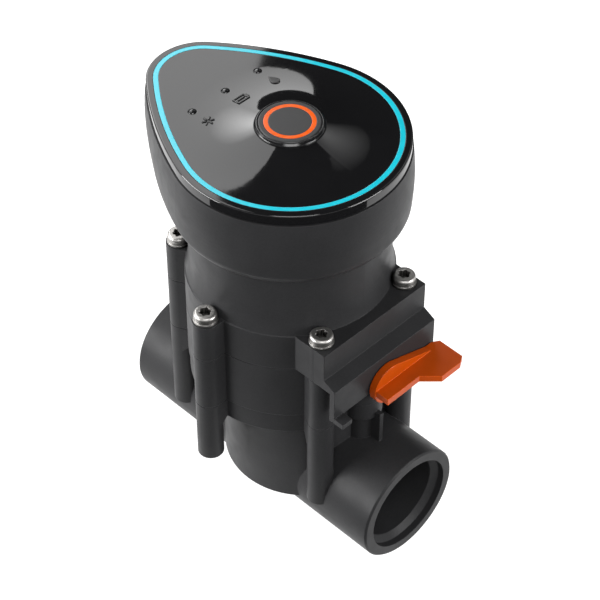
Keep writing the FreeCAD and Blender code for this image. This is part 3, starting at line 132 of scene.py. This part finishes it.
class ValveStudio(bpy.types.PropertyGroup):
    """Light and floor of the studio, and the light of the two rings. A brightness of 1 is white."""
    surround: brightness_setting("Surround", "Even light from all round", 0.05)
    window: brightness_setting("Window", "Brightness of the large panel over the object's left", 3.2)
    side: brightness_setting("Side light", "Brightness of the light on the left", 7.0)
    fill: brightness_setting("Fill light", "Brightness of the light on the right", 13.5)
    front: brightness_setting("Front light", "Brightness of the low light in front", 17.0)
    rear: brightness_setting("Rear light", "Brightness of the dim light behind", 1.8)
    top: brightness_setting("Top light", "Brightness of the light over the camera", 7.0)
    lid_ring_glow: brightness_setting("Lid ring glow", "Light of the ring round the lid", 0.25)
    button_ring_glow: brightness_setting("Button ring glow", "Light of the ring in the button", 0.2)
    floor: colour_setting("Floor", "Matt white floor", "#a0a0a0")
    floor_glow: brightness_setting("Floor glow", "What the camera sees of the floor besides its light", 0.92)
    floor_size: FloatProperty(
        name="Floor size", description="Length of the floor's sides", default=12.0, min=0.0, unit="LENGTH",
        subtype="DISTANCE")
    cloth: colour_setting("Cloth", "Black cloth that only reflections see", "#0a0a0a")


# Shared helpers

# Detail of the noise that draws a pattern: the higher, the finer its smallest spots
SOFT = 2.0
FINE = 3.0
RAGGED = 4.0

# Where most of a noise pattern's values lie
NOISE_LOW = 0.3
NOISE_HIGH = 0.7


def settings(context):
    """The colours and the sizes that the user set."""
    return context.scene.valve_colours, context.scene.valve_sizes


def new_material(name):
    material = bpy.data.materials.new(name)
    material.use_nodes = True
    material.node_tree.nodes.clear()
    return material


def add_node(owner, kind, inputs=(), **options):
    """Add a node to a material or world, with its own settings. An input takes a value, or another
    node's output as a link."""
    tree = owner.node_tree
    node = tree.nodes.new("ShaderNode" + kind)
    for name, value in options.items():
        setattr(node, name, value)
    for socket, value in dict(inputs).items():
        if isinstance(value, bpy.types.NodeSocket):
            tree.links.new(value, node.inputs[socket])
        else:
            node.inputs[socket].default_value = value
    return node


def wear(material, node_names):
    """Give CAD nodes this material."""
    for name in node_names:
        mesh = nodes[name].data
        mesh.materials.clear()
        mesh.materials.append(material)
        for polygon in mesh.polygons:
            polygon.material_index = 0


def noise(material, spacing, detail=SOFT, squeeze=None):
    """A random pattern whose spots are about this far apart, in metres of the solid itself. The
    squeeze packs the spots closer along each axis by this factor."""
    place = add_node(material, "TexCoord").outputs["Object"]
    if squeeze is not None:
        place = add_node(material, "Mapping", {"Vector": place, "Scale": squeeze}).outputs[0]
    spots = {"Vector": place, "Scale": 1 / spacing, "Detail": detail}
    return add_node(material, "TexNoise", spots).outputs[0]


def between(material, pattern, low, high):
    """The pattern spread from one value to another."""
    spread = {"Value": pattern, "From Min": NOISE_LOW, "From Max": NOISE_HIGH, "To Min": low, "To Max": high}
    return add_node(material, "MapRange", spread).outputs[0]


def shade(material, colour, amount):
    """The colour times an amount that varies over the surface."""
    scaled = {0: tuple(colour), "Scale": amount}
    return add_node(material, "VectorMath", scaled, operation="SCALE").outputs[0]


def rounded_edges(material, radius):
    """A normal that rounds sharp edges in the light."""
    return add_node(material, "Bevel", {"Radius": radius}, samples=6).outputs[0]


def along_edges(material, soft, amount, base):
    """The base value, changed by this amount along the edges that the soft normal rounds."""
    flat = add_node(material, "NewGeometry").outputs["Normal"]
    both = {0: soft, 1: flat}
    match = add_node(material, "VectorMath", both, operation="DOT_PRODUCT").outputs["Value"]
    edge = {"Value": match, "From Min": 0.99, "From Max": 0.8, "To Min": 0.0, "To Max": 1.0}
    mask = add_node(material, "MapRange", edge).outputs[0]
    return add_node(material, "Math", {0: mask, 1: amount, 2: base}, operation="MULTIPLY_ADD").outputs[0]


def relief(material, height, depth, normal=None):
    """A bump of this real depth from a pattern between 0 and 1."""
    inputs = {"Height": height, "Distance": depth, "Strength": 1.0}
    if normal is not None:
        inputs["Normal"] = normal
    return add_node(material, "Bump", inputs).outputs[0]


def surface(material, **sockets):
    """End a material in its shader. The socket names are written with underscores."""
    inputs = {name.replace("_", " "): value for name, value in sockets.items()}
    shader = add_node(material, "BsdfPrincipled", inputs)
    add_node(material, "OutputMaterial", {"Surface": shader.outputs[0]})
    return material


# Materials that show

def glass_filled_nylon(colours, sizes):
    """Nylon with glass fibre from a spark-eroded mould: a satin grey-black with a fine even grain
    and edges painted a little lighter as a highlight."""
    material = new_material("glass-filled nylon, spark-eroded")
    cloud_spacing = 14 * MM
    gloss_spacing = 5 * MM
    # How much lighter the colour is painted along the edges, as a highlight
    painted_edge_highlight = 0.3
    soft = rounded_edges(material, sizes.edge_radius)
    grain = noise(material, sizes.grain, FINE)
    fibre = between(material, grain, 0.93, 1.08)
    cloud = between(material, noise(material, cloud_spacing), 0.95, 1.06)
    tone = add_node(material, "Math", {0: cloud, 1: fibre}, operation="MULTIPLY").outputs[0]
    # Painted highlight: the colour is made lighter along the rounded edges
    return surface(
        material, Base_Color=shade(material, colours.housing, along_edges(material, soft, painted_edge_highlight, tone)),
        Roughness=between(material, noise(material, gloss_spacing), 0.40, 0.48), Specular_IOR_Level=0.13,
        Normal=relief(material, grain, sizes.grain_depth, soft))


def polished_plastic(name, colour, sizes):
    """Hard plastic from a polished mould: a deep gloss with the faint waviness of a moulding and
    hairline polishing marks that only show in its shine."""
    material = new_material(name)
    hair_spacing = 0.6 * MM
    wave_spacing = 9 * MM
    wave_depth = 0.0012 * MM
    soft = rounded_edges(material, sizes.edge_radius)
    hairs = noise(material, hair_spacing, FINE, (1.0, 9.0, 1.0))
    wave = noise(material, wave_spacing)
    return surface(
        material, Base_Color=shade(material, colour, between(material, wave, 0.96, 1.05)),
        Roughness=between(material, hairs, 0.035, 0.055), IOR=1.5,
        Normal=relief(material, wave, wave_depth, soft))


def satin_plastic(name, colour, sizes, grain=0.45 * MM, gloss=0.34):
    """Plastic from a finely blasted mould: an even satin with a barely visible grain, and a painted
    highlight that makes its edges a little lighter. The gloss is the roughness of its smoothest spots."""
    material = new_material(name)
    grain_depth = 0.003 * MM
    # How much lighter the colour is painted along the edges, as a highlight
    painted_edge_highlight = 0.15
    soft = rounded_edges(material, sizes.edge_radius)
    spots = noise(material, grain, FINE)
    tone = between(material, spots, 0.95, 1.06)
    # Painted highlight: the colour is made lighter along the rounded edges
    return surface(
        material, Base_Color=shade(material, colour, along_edges(material, soft, painted_edge_highlight, tone)),
        Roughness=between(material, spots, gloss, gloss + 0.08), IOR=1.5,
        Normal=relief(material, spots, grain_depth, soft))


def light_guide(name, colour, sizes, glow):
    """Tinted clear plastic lit from behind: an even glowing colour under a glossy skin."""
    material = new_material(name)
    tint_spacing = 6 * MM
    gloss_spacing = 1.5 * MM
    tint = shade(material, colour, between(material, noise(material, tint_spacing), 0.95, 1.05))
    return surface(
        material, Base_Color=tint, Emission_Color=tint, Emission_Strength=glow,
        Roughness=between(material, noise(material, gloss_spacing), 0.12, 0.2), IOR=1.58,
        Normal=rounded_edges(material, sizes.metal_edge))


def acetal(colours, sizes):
    """Orange acetal from a plain mould: a waxy satin, with a painted highlight that makes its edges paler."""
    material = new_material("orange acetal, moulded")
    cloud_spacing = 7 * MM
    rub_spacing = 1.2 * MM
    grain_spacing = 0.8 * MM
    grain_depth = 0.004 * MM
    # How much paler the colour is painted along the edges, as a highlight
    painted_edge_highlight = 0.7
    soft = rounded_edges(material, sizes.edge_radius)
    cloud = between(material, noise(material, cloud_spacing), 0.94, 1.06)
    # Painted highlight: the colour is made paler along the rounded edges
    return surface(
        material, Base_Color=shade(material, colours.lever, along_edges(material, soft, painted_edge_highlight, cloud)),
        Roughness=between(material, noise(material, rub_spacing, FINE), 0.32, 0.42), IOR=1.48,
        Specular_IOR_Level=0.22, Normal=relief(material, noise(material, grain_spacing), grain_depth, soft))


def drawn_steel(colours, sizes):
    """Passivated stainless steel, cold-headed or drawn: a satin metal with fine marks, shinier edges
    and painted shade in its sockets and corners."""
    material = new_material("stainless steel, cold-headed")
    mark_spacing = 0.35 * MM
    mark_depth = 0.003 * MM
    # Reach and strength of the painted shade in the sockets and corners
    shade_reach = 2.0 * MM
    shade_strength = 2.2
    shinier = -0.08
    soft = rounded_edges(material, sizes.metal_edge)
    marks = noise(material, mark_spacing, RAGGED, (1.0, 1.0, 3.0))
    bright = between(material, marks, 0.9, 1.0)
    # Painted shade: ambient occlusion darkens the colour in the sockets and corners
    open_air = add_node(material, "AmbientOcclusion", {"Distance": shade_reach}, samples=8).outputs["AO"]
    unshaded_share = add_node(material, "Math", {0: open_air, 1: shade_strength}, operation="POWER").outputs[0]
    tone = add_node(material, "Math", {0: unshaded_share, 1: bright}, operation="MULTIPLY").outputs[0]
    rough = between(material, marks, 0.34, 0.46)
    return surface(
        material, Base_Color=shade(material, colours.steel, tone), Metallic=1.0,
        Roughness=along_edges(material, soft, shinier, rough),
        Normal=relief(material, marks, mark_depth, soft))


def nitrile(colours):
    """Moulded nitrile rubber: dull black with a faint bloom."""
    material = new_material("nitrile rubber, moulded")
    bloom_spacing = 3 * MM
    grain_spacing = 0.5 * MM
    grain_depth = 0.006 * MM
    bloom = noise(material, bloom_spacing, RAGGED)
    return surface(
        material, Base_Color=shade(material, colours.rubber, between(material, bloom, 0.9, 1.25)),
        Roughness=between(material, bloom, 0.62, 0.8), IOR=1.52,
        Normal=relief(material, noise(material, grain_spacing), grain_depth))


# Materials inside

def plated_metal(name, colour, sizes, gloss=0.32):
    """Turned metal under a thin plate: a soft shine broken by turning marks. The gloss is the
    roughness of its smoothest spots."""
    material = new_material(name)
    mark_spacing = 0.5 * MM
    mark_depth = 0.003 * MM
    turning = noise(material, mark_spacing, FINE, (1.0, 1.0, 6.0))
    return surface(
        material, Base_Color=shade(material, colour, between(material, turning, 0.88, 1.0)), Metallic=1.0,
        Roughness=between(material, turning, gloss, gloss + 0.14),
        Normal=relief(material, turning, mark_depth, rounded_edges(material, sizes.metal_edge)))


def wound_copper(colours):
    """Enamelled copper wire laid turn by turn: fine shiny rows. The real wire is 0.2 mm thick, and is
    drawn as 0.5 mm so that it shows."""
    material = new_material("enamelled copper wire, wound")
    wire = 0.5 * MM
    wire_depth = 0.08 * MM
    gloss_spacing = 1 * MM
    waves_per_unit = 20
    place = add_node(material, "TexCoord").outputs["Object"]
    rows = {"Vector": place, "Scale": 1 / wire / waves_per_unit, "Distortion": 0.4}
    wave = add_node(material, "TexWave", rows, bands_direction="Z").outputs["Fac"]
    # Painted shade: the colour darkens where the wave's relief is low, in the grooves between the turns
    tone = between(material, wave, 0.55, 1.0)
    return surface(
        material, Base_Color=shade(material, colours.copper, tone), Metallic=1.0,
        Roughness=between(material, noise(material, gloss_spacing), 0.2, 0.32),
        Normal=relief(material, wave, wire_depth))


def solder_resist(colours):
    """Circuit board under green solder resist: glossy, with the copper tracks showing as paler lines."""
    material = new_material("circuit board, solder resist")
    track_spacing = 2.5 * MM
    track_depth = 0.02 * MM
    gloss_spacing = 2 * MM
    place = add_node(material, "TexCoord").outputs["Object"]
    cells = {"Vector": place, "Scale": 1 / track_spacing}
    tracks = add_node(material, "TexVoronoi", cells, distance="CHEBYCHEV", feature="F1").outputs["Distance"]
    lines = {"Value": tracks, "From Min": 0.42, "From Max": 0.5, "To Min": 1.0, "To Max": 1.7}
    tone = add_node(material, "MapRange", lines).outputs[0]
    return surface(
        material, Base_Color=shade(material, colours.board, tone),
        Roughness=between(material, noise(material, gloss_spacing), 0.18, 0.3), IOR=1.55,
        Normal=relief(material, tone, track_depth))


# Pieces and their operators

HOUSING = ("valve_body", "middle_ring", "bonnet", "head_shell")
STEEL = ("bonnet_screws", "base_screws", "board_screws", "solenoid_screws", "diaphragm_bolt", "diaphragm_nut",
         "closing_spring", "plunger_spring", "plunger_guide")
RUBBER = ("bonnet_o_ring", "pillar_o_ring", "solenoid_o_ring", "spindle_o_rings", "head_o_ring", "lid_gasket",
          "diaphragm", "seat_washer", "pilot_seal")
INNER = ("washer_holder", "diaphragm_plate", "bobbin", "terminal_board", "bleed_spindle", "head_base",
         "battery_cradle", "battery_clasp", "push_switch")
IRON = ("fixed_core", "plunger", "solenoid_can", "radio_module")


class VALVE_OT_housing(bpy.types.Operator):
    """Finish the moulded housing"""
    bl_idname = "valve.housing"
    bl_label = "Housing"

    def execute(self, context):
        colours, sizes = settings(context)
        wear(glass_filled_nylon(colours, sizes), HOUSING)
        return {"FINISHED"}


class VALVE_OT_lid(bpy.types.Operator):
    """Finish the lid, the ring round the button and the button"""
    bl_idname = "valve.lid"
    bl_label = "Lid and button"

    def execute(self, context):
        colours, sizes = settings(context)
        wear(polished_plastic("ABS, polished black", colours.lid, sizes), ["head_lid"])
        wear(satin_plastic("ABS, satin black", colours.button, sizes), ["button_cap"])
        wear(satin_plastic("ABS, half-gloss black", colours.lid, sizes, gloss=0.13), ["button_bezel"])
        wear(satin_plastic("nylon, cream", colours.switch_stem, sizes), ["switch_stem"])
        return {"FINISHED"}


class VALVE_OT_light_guides(bpy.types.Operator):
    """Finish the two light rings and the lamp tips"""
    bl_idname = "valve.light_guides"
    bl_label = "Light guides"

    def execute(self, context):
        colours, sizes = settings(context)
        studio = context.scene.valve_studio
        lid_ring = light_guide("polycarbonate, cyan, lit", colours.light_ring, sizes, studio.lid_ring_glow)
        button_ring = light_guide(
            "polycarbonate, orange, lit", colours.button_ring, sizes, studio.button_ring_glow)
        wear(lid_ring, ["light_ring"])
        wear(button_ring, ["button_light_ring"])
        wear(polished_plastic("polycarbonate, smoked", colours.lamp_tips, sizes), ["led_light_pipes"])
        wear(satin_plastic("lamp phosphor, cast", colours.lamp_chips, sizes), ["led_chips"])
        return {"FINISHED"}


class VALVE_OT_lever(bpy.types.Operator):
    """Finish the hand lever"""
    bl_idname = "valve.lever"
    bl_label = "Hand lever"

    def execute(self, context):
        colours, sizes = settings(context)
        wear(acetal(colours, sizes), ["manual_lever"])
        return {"FINISHED"}


class VALVE_OT_fasteners(bpy.types.Operator):
    """Finish the screws, springs and drawn steel"""
    bl_idname = "valve.fasteners"
    bl_label = "Screws and springs"

    def execute(self, context):
        colours, sizes = settings(context)
        wear(drawn_steel(colours, sizes), STEEL)
        return {"FINISHED"}


class VALVE_OT_seals(bpy.types.Operator):
    """Finish the rubber seals and the diaphragm"""
    bl_idname = "valve.seals"
    bl_label = "Seals"

    def execute(self, context):
        wear(nitrile(context.scene.valve_colours), RUBBER)
        return {"FINISHED"}


class VALVE_OT_drive(bpy.types.Operator):
    """Finish the coil, its iron parts and the inner mouldings"""
    bl_idname = "valve.drive"
    bl_label = "Coil and inner parts"

    def execute(self, context):
        colours, sizes = settings(context)
        wear(satin_plastic("nylon, moulded black", colours.inner_nylon, sizes, 0.6 * MM, 0.42), INNER)
        wear(plated_metal("steel, zinc plated", colours.zinc, sizes), IRON)
        wear(plated_metal("magnet, nickel plated", colours.magnet, sizes, 0.22), ["latch_magnet"])
        wear(plated_metal("brass, plated", colours.brass, sizes, 0.2), ["terminal_studs", "contact_pins"])
        wear(wound_copper(colours), ["coil_winding"])
        return {"FINISHED"}


class VALVE_OT_electronics(bpy.types.Operator):
    """Finish the circuit board and the battery"""
    bl_idname = "valve.electronics"
    bl_label = "Board and battery"

    def execute(self, context):
        colours, sizes = settings(context)
        wear(solder_resist(colours), ["circuit_board"])
        wear(satin_plastic("battery can, lacquered", colours.battery, sizes, 1.0 * MM, 0.28), ["battery"])
        return {"FINISHED"}


# The drop's round end, in degrees and in points, and the number of the frost flake's arms
DROP_ARC = 240
DROP_STEPS = 9
FLAKE_ARMS = 6


def closed_line(curve, points, smooth=()):
    """A closed line through flat points. A point whose number is in smooth is rounded."""
    line = curve.splines.new("BEZIER")
    line.bezier_points.add(len(points) - 1)
    for number, (point, (x, y)) in enumerate(zip(line.bezier_points, points)):
        point.co = (x, y, 0.0)
        kind = "AUTO" if number in smooth else "VECTOR"
        point.handle_left_type = kind
        point.handle_right_type = kind
    line.use_cyclic_u = True


def lay_on_lid(mesh, x, y):
    """Move a flat shape to this place and bend it to the lid's surface."""
    lid = nodes["head_lid"]
    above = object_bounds()[1].z
    down = Vector((0.0, 0.0, -1.0))
    for vertex in mesh.vertices:
        vertex.co.x += x
        vertex.co.y += y
        found, spot, _, _ = lid.ray_cast(Vector((vertex.co.x, vertex.co.y, above)), down)
        if not found:
            raise RuntimeError("a symbol lies beside the lid")
        vertex.co.z += spot.z


def raised_symbol(name, lines, centre, rise, material, smooth=()):
    """A flat-topped symbol with softened edges that stands on the lid. Lines inside others are holes."""
    sink = rise / 4
    soften = rise / 4
    weld = 0.001 * MM
    curve = bpy.data.curves.new(name + "_line", "CURVE")
    curve.dimensions = "2D"
    curve.fill_mode = "BOTH"
    curve.resolution_u = 12
    curve.extrude = (rise + sink) / 2 - soften
    curve.bevel_depth = soften
    curve.bevel_resolution = 2
    curve.offset = -soften
    for line in lines:
        closed_line(curve, line, smooth)
    drawn = bpy.data.objects.new(name + "_line", curve)
    bpy.context.scene.collection.objects.link(drawn)
    bpy.context.view_layer.update()
    mesh = bpy.data.meshes.new_from_object(drawn.evaluated_get(bpy.context.evaluated_depsgraph_get()))
    bpy.data.objects.remove(drawn)
    bpy.data.curves.remove(curve)
    built = bmesh.new()
    built.from_mesh(mesh)
    bmesh.ops.remove_doubles(built, verts=built.verts, dist=weld)
    bmesh.ops.recalc_face_normals(built, faces=built.faces)
    bmesh.ops.translate(built, verts=built.verts, vec=(0.0, 0.0, (rise - sink) / 2))
    built.to_mesh(mesh)
    built.free()
    lay_on_lid(mesh, *centre)
    mesh.materials.clear()
    mesh.materials.append(material)
    piece = bpy.data.objects.new(name, mesh)
    bpy.context.scene.collection.objects.link(piece)
    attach(piece, "control_unit")


def box_line(x_low, x_high, y_low, y_high):
    """The four corners of a box."""
    return [(x_low, y_low), (x_high, y_low), (x_high, y_high), (x_low, y_high)]


def battery_lines(sizes):
    """A battery's outline with its pole at one end, and the bar that shows its charge."""
    half_width = sizes.battery_width / 2
    half_length = sizes.battery_length / 2
    stroke = sizes.stroke
    pole = half_width / 2
    outer = [
        (-half_width, -half_length),
        (half_width, -half_length),
        (half_width, half_length),
        (pole, half_length),
        (pole, half_length + stroke),
        (-pole, half_length + stroke),
        (-pole, half_length),
        (-half_width, half_length),
    ]
    inner = box_line(-half_width + stroke, half_width - stroke, -half_length + stroke, half_length - stroke)
    bar = box_line(-stroke / 2, stroke / 2, -half_length + stroke * 2, half_length - stroke * 2)
    return [outer, inner, bar]


def drop_lines(sizes):
    """A water drop that points away from the button. Its first point is the tip."""
    half_width = sizes.drop_width / 2
    round_end = sizes.drop_length / 2 - half_width
    points = [(-sizes.drop_length / 2, 0.0)]
    for step in range(DROP_STEPS):
        angle = math.radians(DROP_ARC * (step / (DROP_STEPS - 1) - 0.5))
        points.append((round_end + half_width * math.cos(angle), half_width * math.sin(angle)))
    return [points]


def flake_lines(sizes):
    """Straight arms round an open middle."""
    lines = []
    half = sizes.stroke / 2
    for arm in range(FLAKE_ARMS):
        turn = Matrix.Rotation(math.radians(360 / FLAKE_ARMS * arm), 2)
        corners = box_line(sizes.stroke, sizes.flake_radius, -half, half)
        lines.append([tuple(turn @ Vector(corner)) for corner in corners])
    return lines


class VALVE_OT_symbols(bpy.types.Operator):
    """Stand a raised symbol beside each lamp: a water drop, a battery and a frost flake"""
    bl_idname = "valve.symbols"
    bl_label = "Symbols"

    def execute(self, context):
        colours, sizes = settings(context)
        material = satin_plastic("ABS, raised symbols", colours.symbols, sizes, gloss=0.4)
        low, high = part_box("led_light_pipes")
        radius = (high.x - low.x) / 2
        reach = high.y - radius
        x = low.x + radius + sizes.symbol_distance
        rise = sizes.symbol_rise
        round_points = range(1, DROP_STEPS + 1)
        raised_symbol("drop_symbol", drop_lines(sizes), (x, reach), rise, material, round_points)
        raised_symbol("battery_symbol", battery_lines(sizes), (x, 0.0), rise, material)
        raised_symbol("frost_symbol", flake_lines(sizes), (x, -reach), rise, material)
        return {"FINISHED"}


# Camera and studio

# Where the camera stands, in metres, and how it is turned: azimuth, elevation and roll in degrees
CAMERA_SPOT = Vector((0.40383, -0.34962, 0.55021))
CAMERA_TURN = (44.87, 44.83, 0.07)
CAMERA_LENS = 128.0
CAMERA_SENSOR = 36.0

# The azimuths that the camera looks from, and that it looks toward, in round degrees
FRONT = 45
BACK = 225


def facing(azimuth, elevation, roll=0.0):
    """The turn of a camera or lamp that looks at the object from this azimuth and elevation, in degrees."""
    turn, tilt, lean = (math.radians(angle) for angle in (azimuth, elevation, roll))
    back = Vector((math.sin(turn) * math.cos(tilt), -math.cos(turn) * math.cos(tilt), math.sin(tilt)))
    right = Vector((math.cos(turn), math.sin(turn), 0.0))
    up = back.cross(right)
    across = right * math.cos(lean) + up * math.sin(lean)
    upright = up * math.cos(lean) - right * math.sin(lean)
    return Matrix((across, upright, back)).transposed().to_4x4()


class VALVE_OT_camera(bpy.types.Operator):
    """Set the camera at the photograph's viewing angle"""
    bl_idname = "valve.camera"
    bl_label = "Camera"

    def execute(self, context):
        lens = bpy.data.cameras.new("camera")
        lens.sensor_width = CAMERA_SENSOR
        lens.lens = CAMERA_LENS
        camera = bpy.data.objects.new("camera", lens)
        context.scene.collection.objects.link(camera)
        camera.matrix_world = Matrix.Translation(CAMERA_SPOT) @ facing(*CAMERA_TURN)
        context.scene.camera = camera
        return {"FINISHED"}


def lamp(name, spot, turn, width, height, brightness, spread=180):
    """A soft rectangular lamp whose face has this brightness, straight on. A smaller spread, in
    degrees, dims it toward its edges. Blender brightens a lamp of small spread, so that is undone."""
    light = bpy.data.lights.new(name, "AREA")
    light.shape = "RECTANGLE"
    light.size = width
    light.size_y = height
    light.spread = math.radians(spread)
    half = light.spread / 2
    light.energy = brightness * math.pi * width * height * (1 - half / math.tan(half))
    lit = bpy.data.objects.new(name, light)
    bpy.context.scene.collection.objects.link(lit)
    lit.matrix_world = Matrix.Translation(spot) @ turn
    lit.visible_camera = False


def around(target, azimuth, elevation, distance):
    """A point at this distance from the target, seen at an azimuth and elevation in degrees."""
    return target + facing(azimuth, elevation).to_3x3() @ Vector((0.0, 0.0, distance))


def lamp_around(name, target, azimuth, elevation, distance, width, height, brightness, spread=180):
    """A lamp that faces the target from this azimuth and elevation, in degrees."""
    turn = facing(azimuth, elevation)
    lamp(name, around(target, azimuth, elevation, distance), turn, width, height, brightness, spread)


def card(name, corners, material):
    """A flat four-cornered sheet of the studio, cut into a few faces."""
    cuts = 3
    built = bmesh.new()
    built.faces.new([built.verts.new(corner) for corner in corners])
    bmesh.ops.subdivide_edges(built, edges=built.edges, cuts=cuts, use_grid_fill=True)
    mesh = bpy.data.meshes.new(name)
    built.to_mesh(mesh)
    built.free()
    mesh.materials.append(material)
    sheet = bpy.data.objects.new(name, mesh)
    bpy.context.scene.collection.objects.link(sheet)
    sheet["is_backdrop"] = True
    return sheet


def seen_plainly(owner):
    """1 for what the camera sees straight on, mirrored or through something clear, and 0 for the rest."""
    path = add_node(owner, "LightPath").outputs
    straight_or_mirrored = {0: path["Is Camera Ray"], 1: path["Is Glossy Ray"]}
    seen = add_node(owner, "Math", straight_or_mirrored, operation="MAXIMUM").outputs[0]
    with_clear = {0: seen, 1: path["Is Transmission Ray"]}
    return add_node(owner, "Math", with_clear, operation="MAXIMUM").outputs[0]


def white_paper(colour, glow_level):
    """Matt white paper. It shows white to the camera and in reflections, and keeps a soft shadow."""
    material = new_material("paper, matt white")
    cloud_spacing = 0.4
    clouds = between(material, noise(material, cloud_spacing), 0.99, 1.0)
    paper = add_node(material, "BsdfDiffuse", {"Color": shade(material, colour, clouds)})
    level = {0: seen_plainly(material), 1: glow_level}
    strength = add_node(material, "Math", level, operation="MULTIPLY").outputs[0]
    glow = add_node(material, "Emission", {"Strength": strength})
    total = add_node(material, "AddShader", {0: paper.outputs[0], 1: glow.outputs[0]})
    add_node(material, "OutputMaterial", {"Surface": total.outputs[0]})
    return material


def black_cloth(colour):
    """Black cloth that a studio hangs up to keep a gloss surface dark."""
    material = new_material("cloth, black")
    weave = add_node(material, "BsdfDiffuse", {"Color": (*colour, 1.0)})
    add_node(material, "OutputMaterial", {"Surface": weave.outputs[0]})
    return material


def from_foot(azimuth, foot, corners):
    """Places given as across, up and out from the object's foot, for a viewer at this azimuth."""
    turn = facing(azimuth, 0).to_3x3()
    return [foot + turn @ Vector(corner) for corner in corners]


def back_cloth(foot, cloth):
    """Stands behind the object and hides the window's far end from the lid."""
    distance = 0.42
    height = 0.28
    foot_half = 1.4 / 2
    top_half = 1.6 / 2
    corners = [
        (-foot_half, 0.0, distance),
        (foot_half, 0.0, distance),
        (top_half, height, distance),
        (-top_half, height, distance),
    ]
    return card("back_cloth", from_foot(BACK, foot, corners), cloth)


def roof_cloth(cloth):
    """Hangs over the lamps and hides the white room above them from the lid."""
    half = 5.0
    height = 1.5
    corners = [(-half, -half, height), (half, -half, height), (half, half, height), (-half, half, height)]
    return card("roof_cloth", corners, cloth)


def front_cloth(foot, cloth):
    """Lies on the floor before the object and hides the white floor there from the housing."""
    lift = 0.004
    half = 1.6 / 2
    near_left = 0.035
    near_right = 0.085
    far = 0.9
    corners = [(-half, lift, near_left), (half, lift, near_right), (half, lift, far), (-half, lift, far)]
    return card("front_cloth", from_foot(FRONT, foot, corners), cloth)


def studio_world(surround):
    """Even light from all round that looks white to the camera and in reflections."""
    world = bpy.data.worlds.new("studio")
    world.use_nodes = True
    world.node_tree.nodes.clear()
    level = {"Value": seen_plainly(world), "To Min": surround, "To Max": 1.0}
    strength = add_node(world, "MapRange", level).outputs[0]
    back = add_node(world, "Background", {"Color": (1.0, 1.0, 1.0, 1.0), "Strength": strength})
    add_node(world, "OutputWorld", {"Surface": back.outputs[0]})
    return world


class VALVE_OT_stage(bpy.types.Operator):
    """Lay the floor, hang the cloths and set the lamps"""
    bl_idname = "valve.stage"
    bl_label = "Studio"

    def execute(self, context):
        scene = context.scene
        studio = scene.valve_studio
        scene.view_settings.view_transform = "Standard"
        scene.world = studio_world(studio.surround)
        low, high = cad_box
        middle = Vector(((low.x + high.x) / 2, 0.0, (low.z + high.z) / 2))
        foot = Vector((middle.x, 0.0, low.z))
        half = studio.floor_size / 2
        corners = [(-half, -half, low.z), (half, -half, low.z), (half, half, low.z), (-half, half, low.z)]
        card("floor", corners, white_paper(studio.floor, studio.floor_glow))
        cloth = black_cloth(studio.cloth)
        for sheet in (back_cloth(foot, cloth), roof_cloth(cloth), front_cloth(foot, cloth)):
            sheet.visible_camera = False
            sheet.visible_diffuse = False
            sheet.visible_transmission = False
            sheet.visible_shadow = False
        # The window's long edge runs behind and over the object, so the lid mirrors it on its left half only
        window_spot = middle + Vector((-1.736, 0.335, 0.95))
        window_turn = facing(BACK, 89.9, -10.1)
        lamp("window", window_spot, window_turn, width=2.0, height=2.98, brightness=studio.window)
        lamp_around("side_light", middle, azimuth=-105, elevation=29, distance=1.4,
                    width=0.9, height=0.9, brightness=studio.side, spread=33)
        lamp_around("fill_light", middle, azimuth=110, elevation=14, distance=1.1,
                    width=0.6, height=0.5, brightness=studio.fill)
        lamp_around("front_light", middle, azimuth=-35, elevation=12, distance=1.1,
                    width=0.8, height=0.5, brightness=studio.front)
        lamp_around("rear_light", middle, azimuth=190, elevation=44, distance=1.2,
                    width=0.6, height=0.6, brightness=studio.rear, spread=34)
        lamp_around("top_light", middle, azimuth=50, elevation=45, distance=1.1,
                    width=0.6, height=0.5, brightness=studio.top)
        return {"FINISHED"}


OPERATORS = (
    VALVE_OT_housing, VALVE_OT_lid, VALVE_OT_light_guides, VALVE_OT_lever, VALVE_OT_fasteners, VALVE_OT_seals,
    VALVE_OT_drive, VALVE_OT_electronics, VALVE_OT_symbols, VALVE_OT_camera, VALVE_OT_stage,
)
SETTINGS = {"valve_colours": ValveColours, "valve_sizes": ValveSizes, "valve_studio": ValveStudio}


class VALVE_PT_looks(bpy.types.Panel):
    """Lists the valve's operators and settings"""
    bl_label = "Valve"
    bl_idname = "VALVE_PT_looks"
    bl_space_type = "VIEW_3D"
    bl_region_type = "UI"
    bl_category = "Valve"

    def draw(self, context):
        for operator in OPERATORS:
            self.layout.operator(operator.bl_idname)
        for name, group in SETTINGS.items():
            for setting in group.__annotations__:
                self.layout.prop(getattr(context.scene, name), setting)


def register():
    for group in SETTINGS.values():
        bpy.utils.register_class(group)
    for name, group in SETTINGS.items():
        setattr(bpy.types.Scene, name, PointerProperty(type=group))
    for operator in OPERATORS:
        bpy.utils.register_class(operator)
    bpy.utils.register_class(VALVE_PT_looks)


def unregister():
    bpy.utils.unregister_class(VALVE_PT_looks)
    for operator in reversed(OPERATORS):
        bpy.utils.unregister_class(operator)
    for name, group in SETTINGS.items():
        delattr(bpy.types.Scene, name)
        bpy.utils.unregister_class(group)


def main():
    """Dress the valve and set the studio."""
    register()
    bpy.ops.valve.housing()
    bpy.ops.valve.lid()
    bpy.ops.valve.light_guides()
    bpy.ops.valve.lever()
    bpy.ops.valve.fasteners()
    bpy.ops.valve.seals()
    bpy.ops.valve.drive()
    bpy.ops.valve.electronics()
    bpy.ops.valve.symbols()
    bpy.ops.valve.camera()
    bpy.ops.valve.stage()


if __name__ == "__main__":
    main()
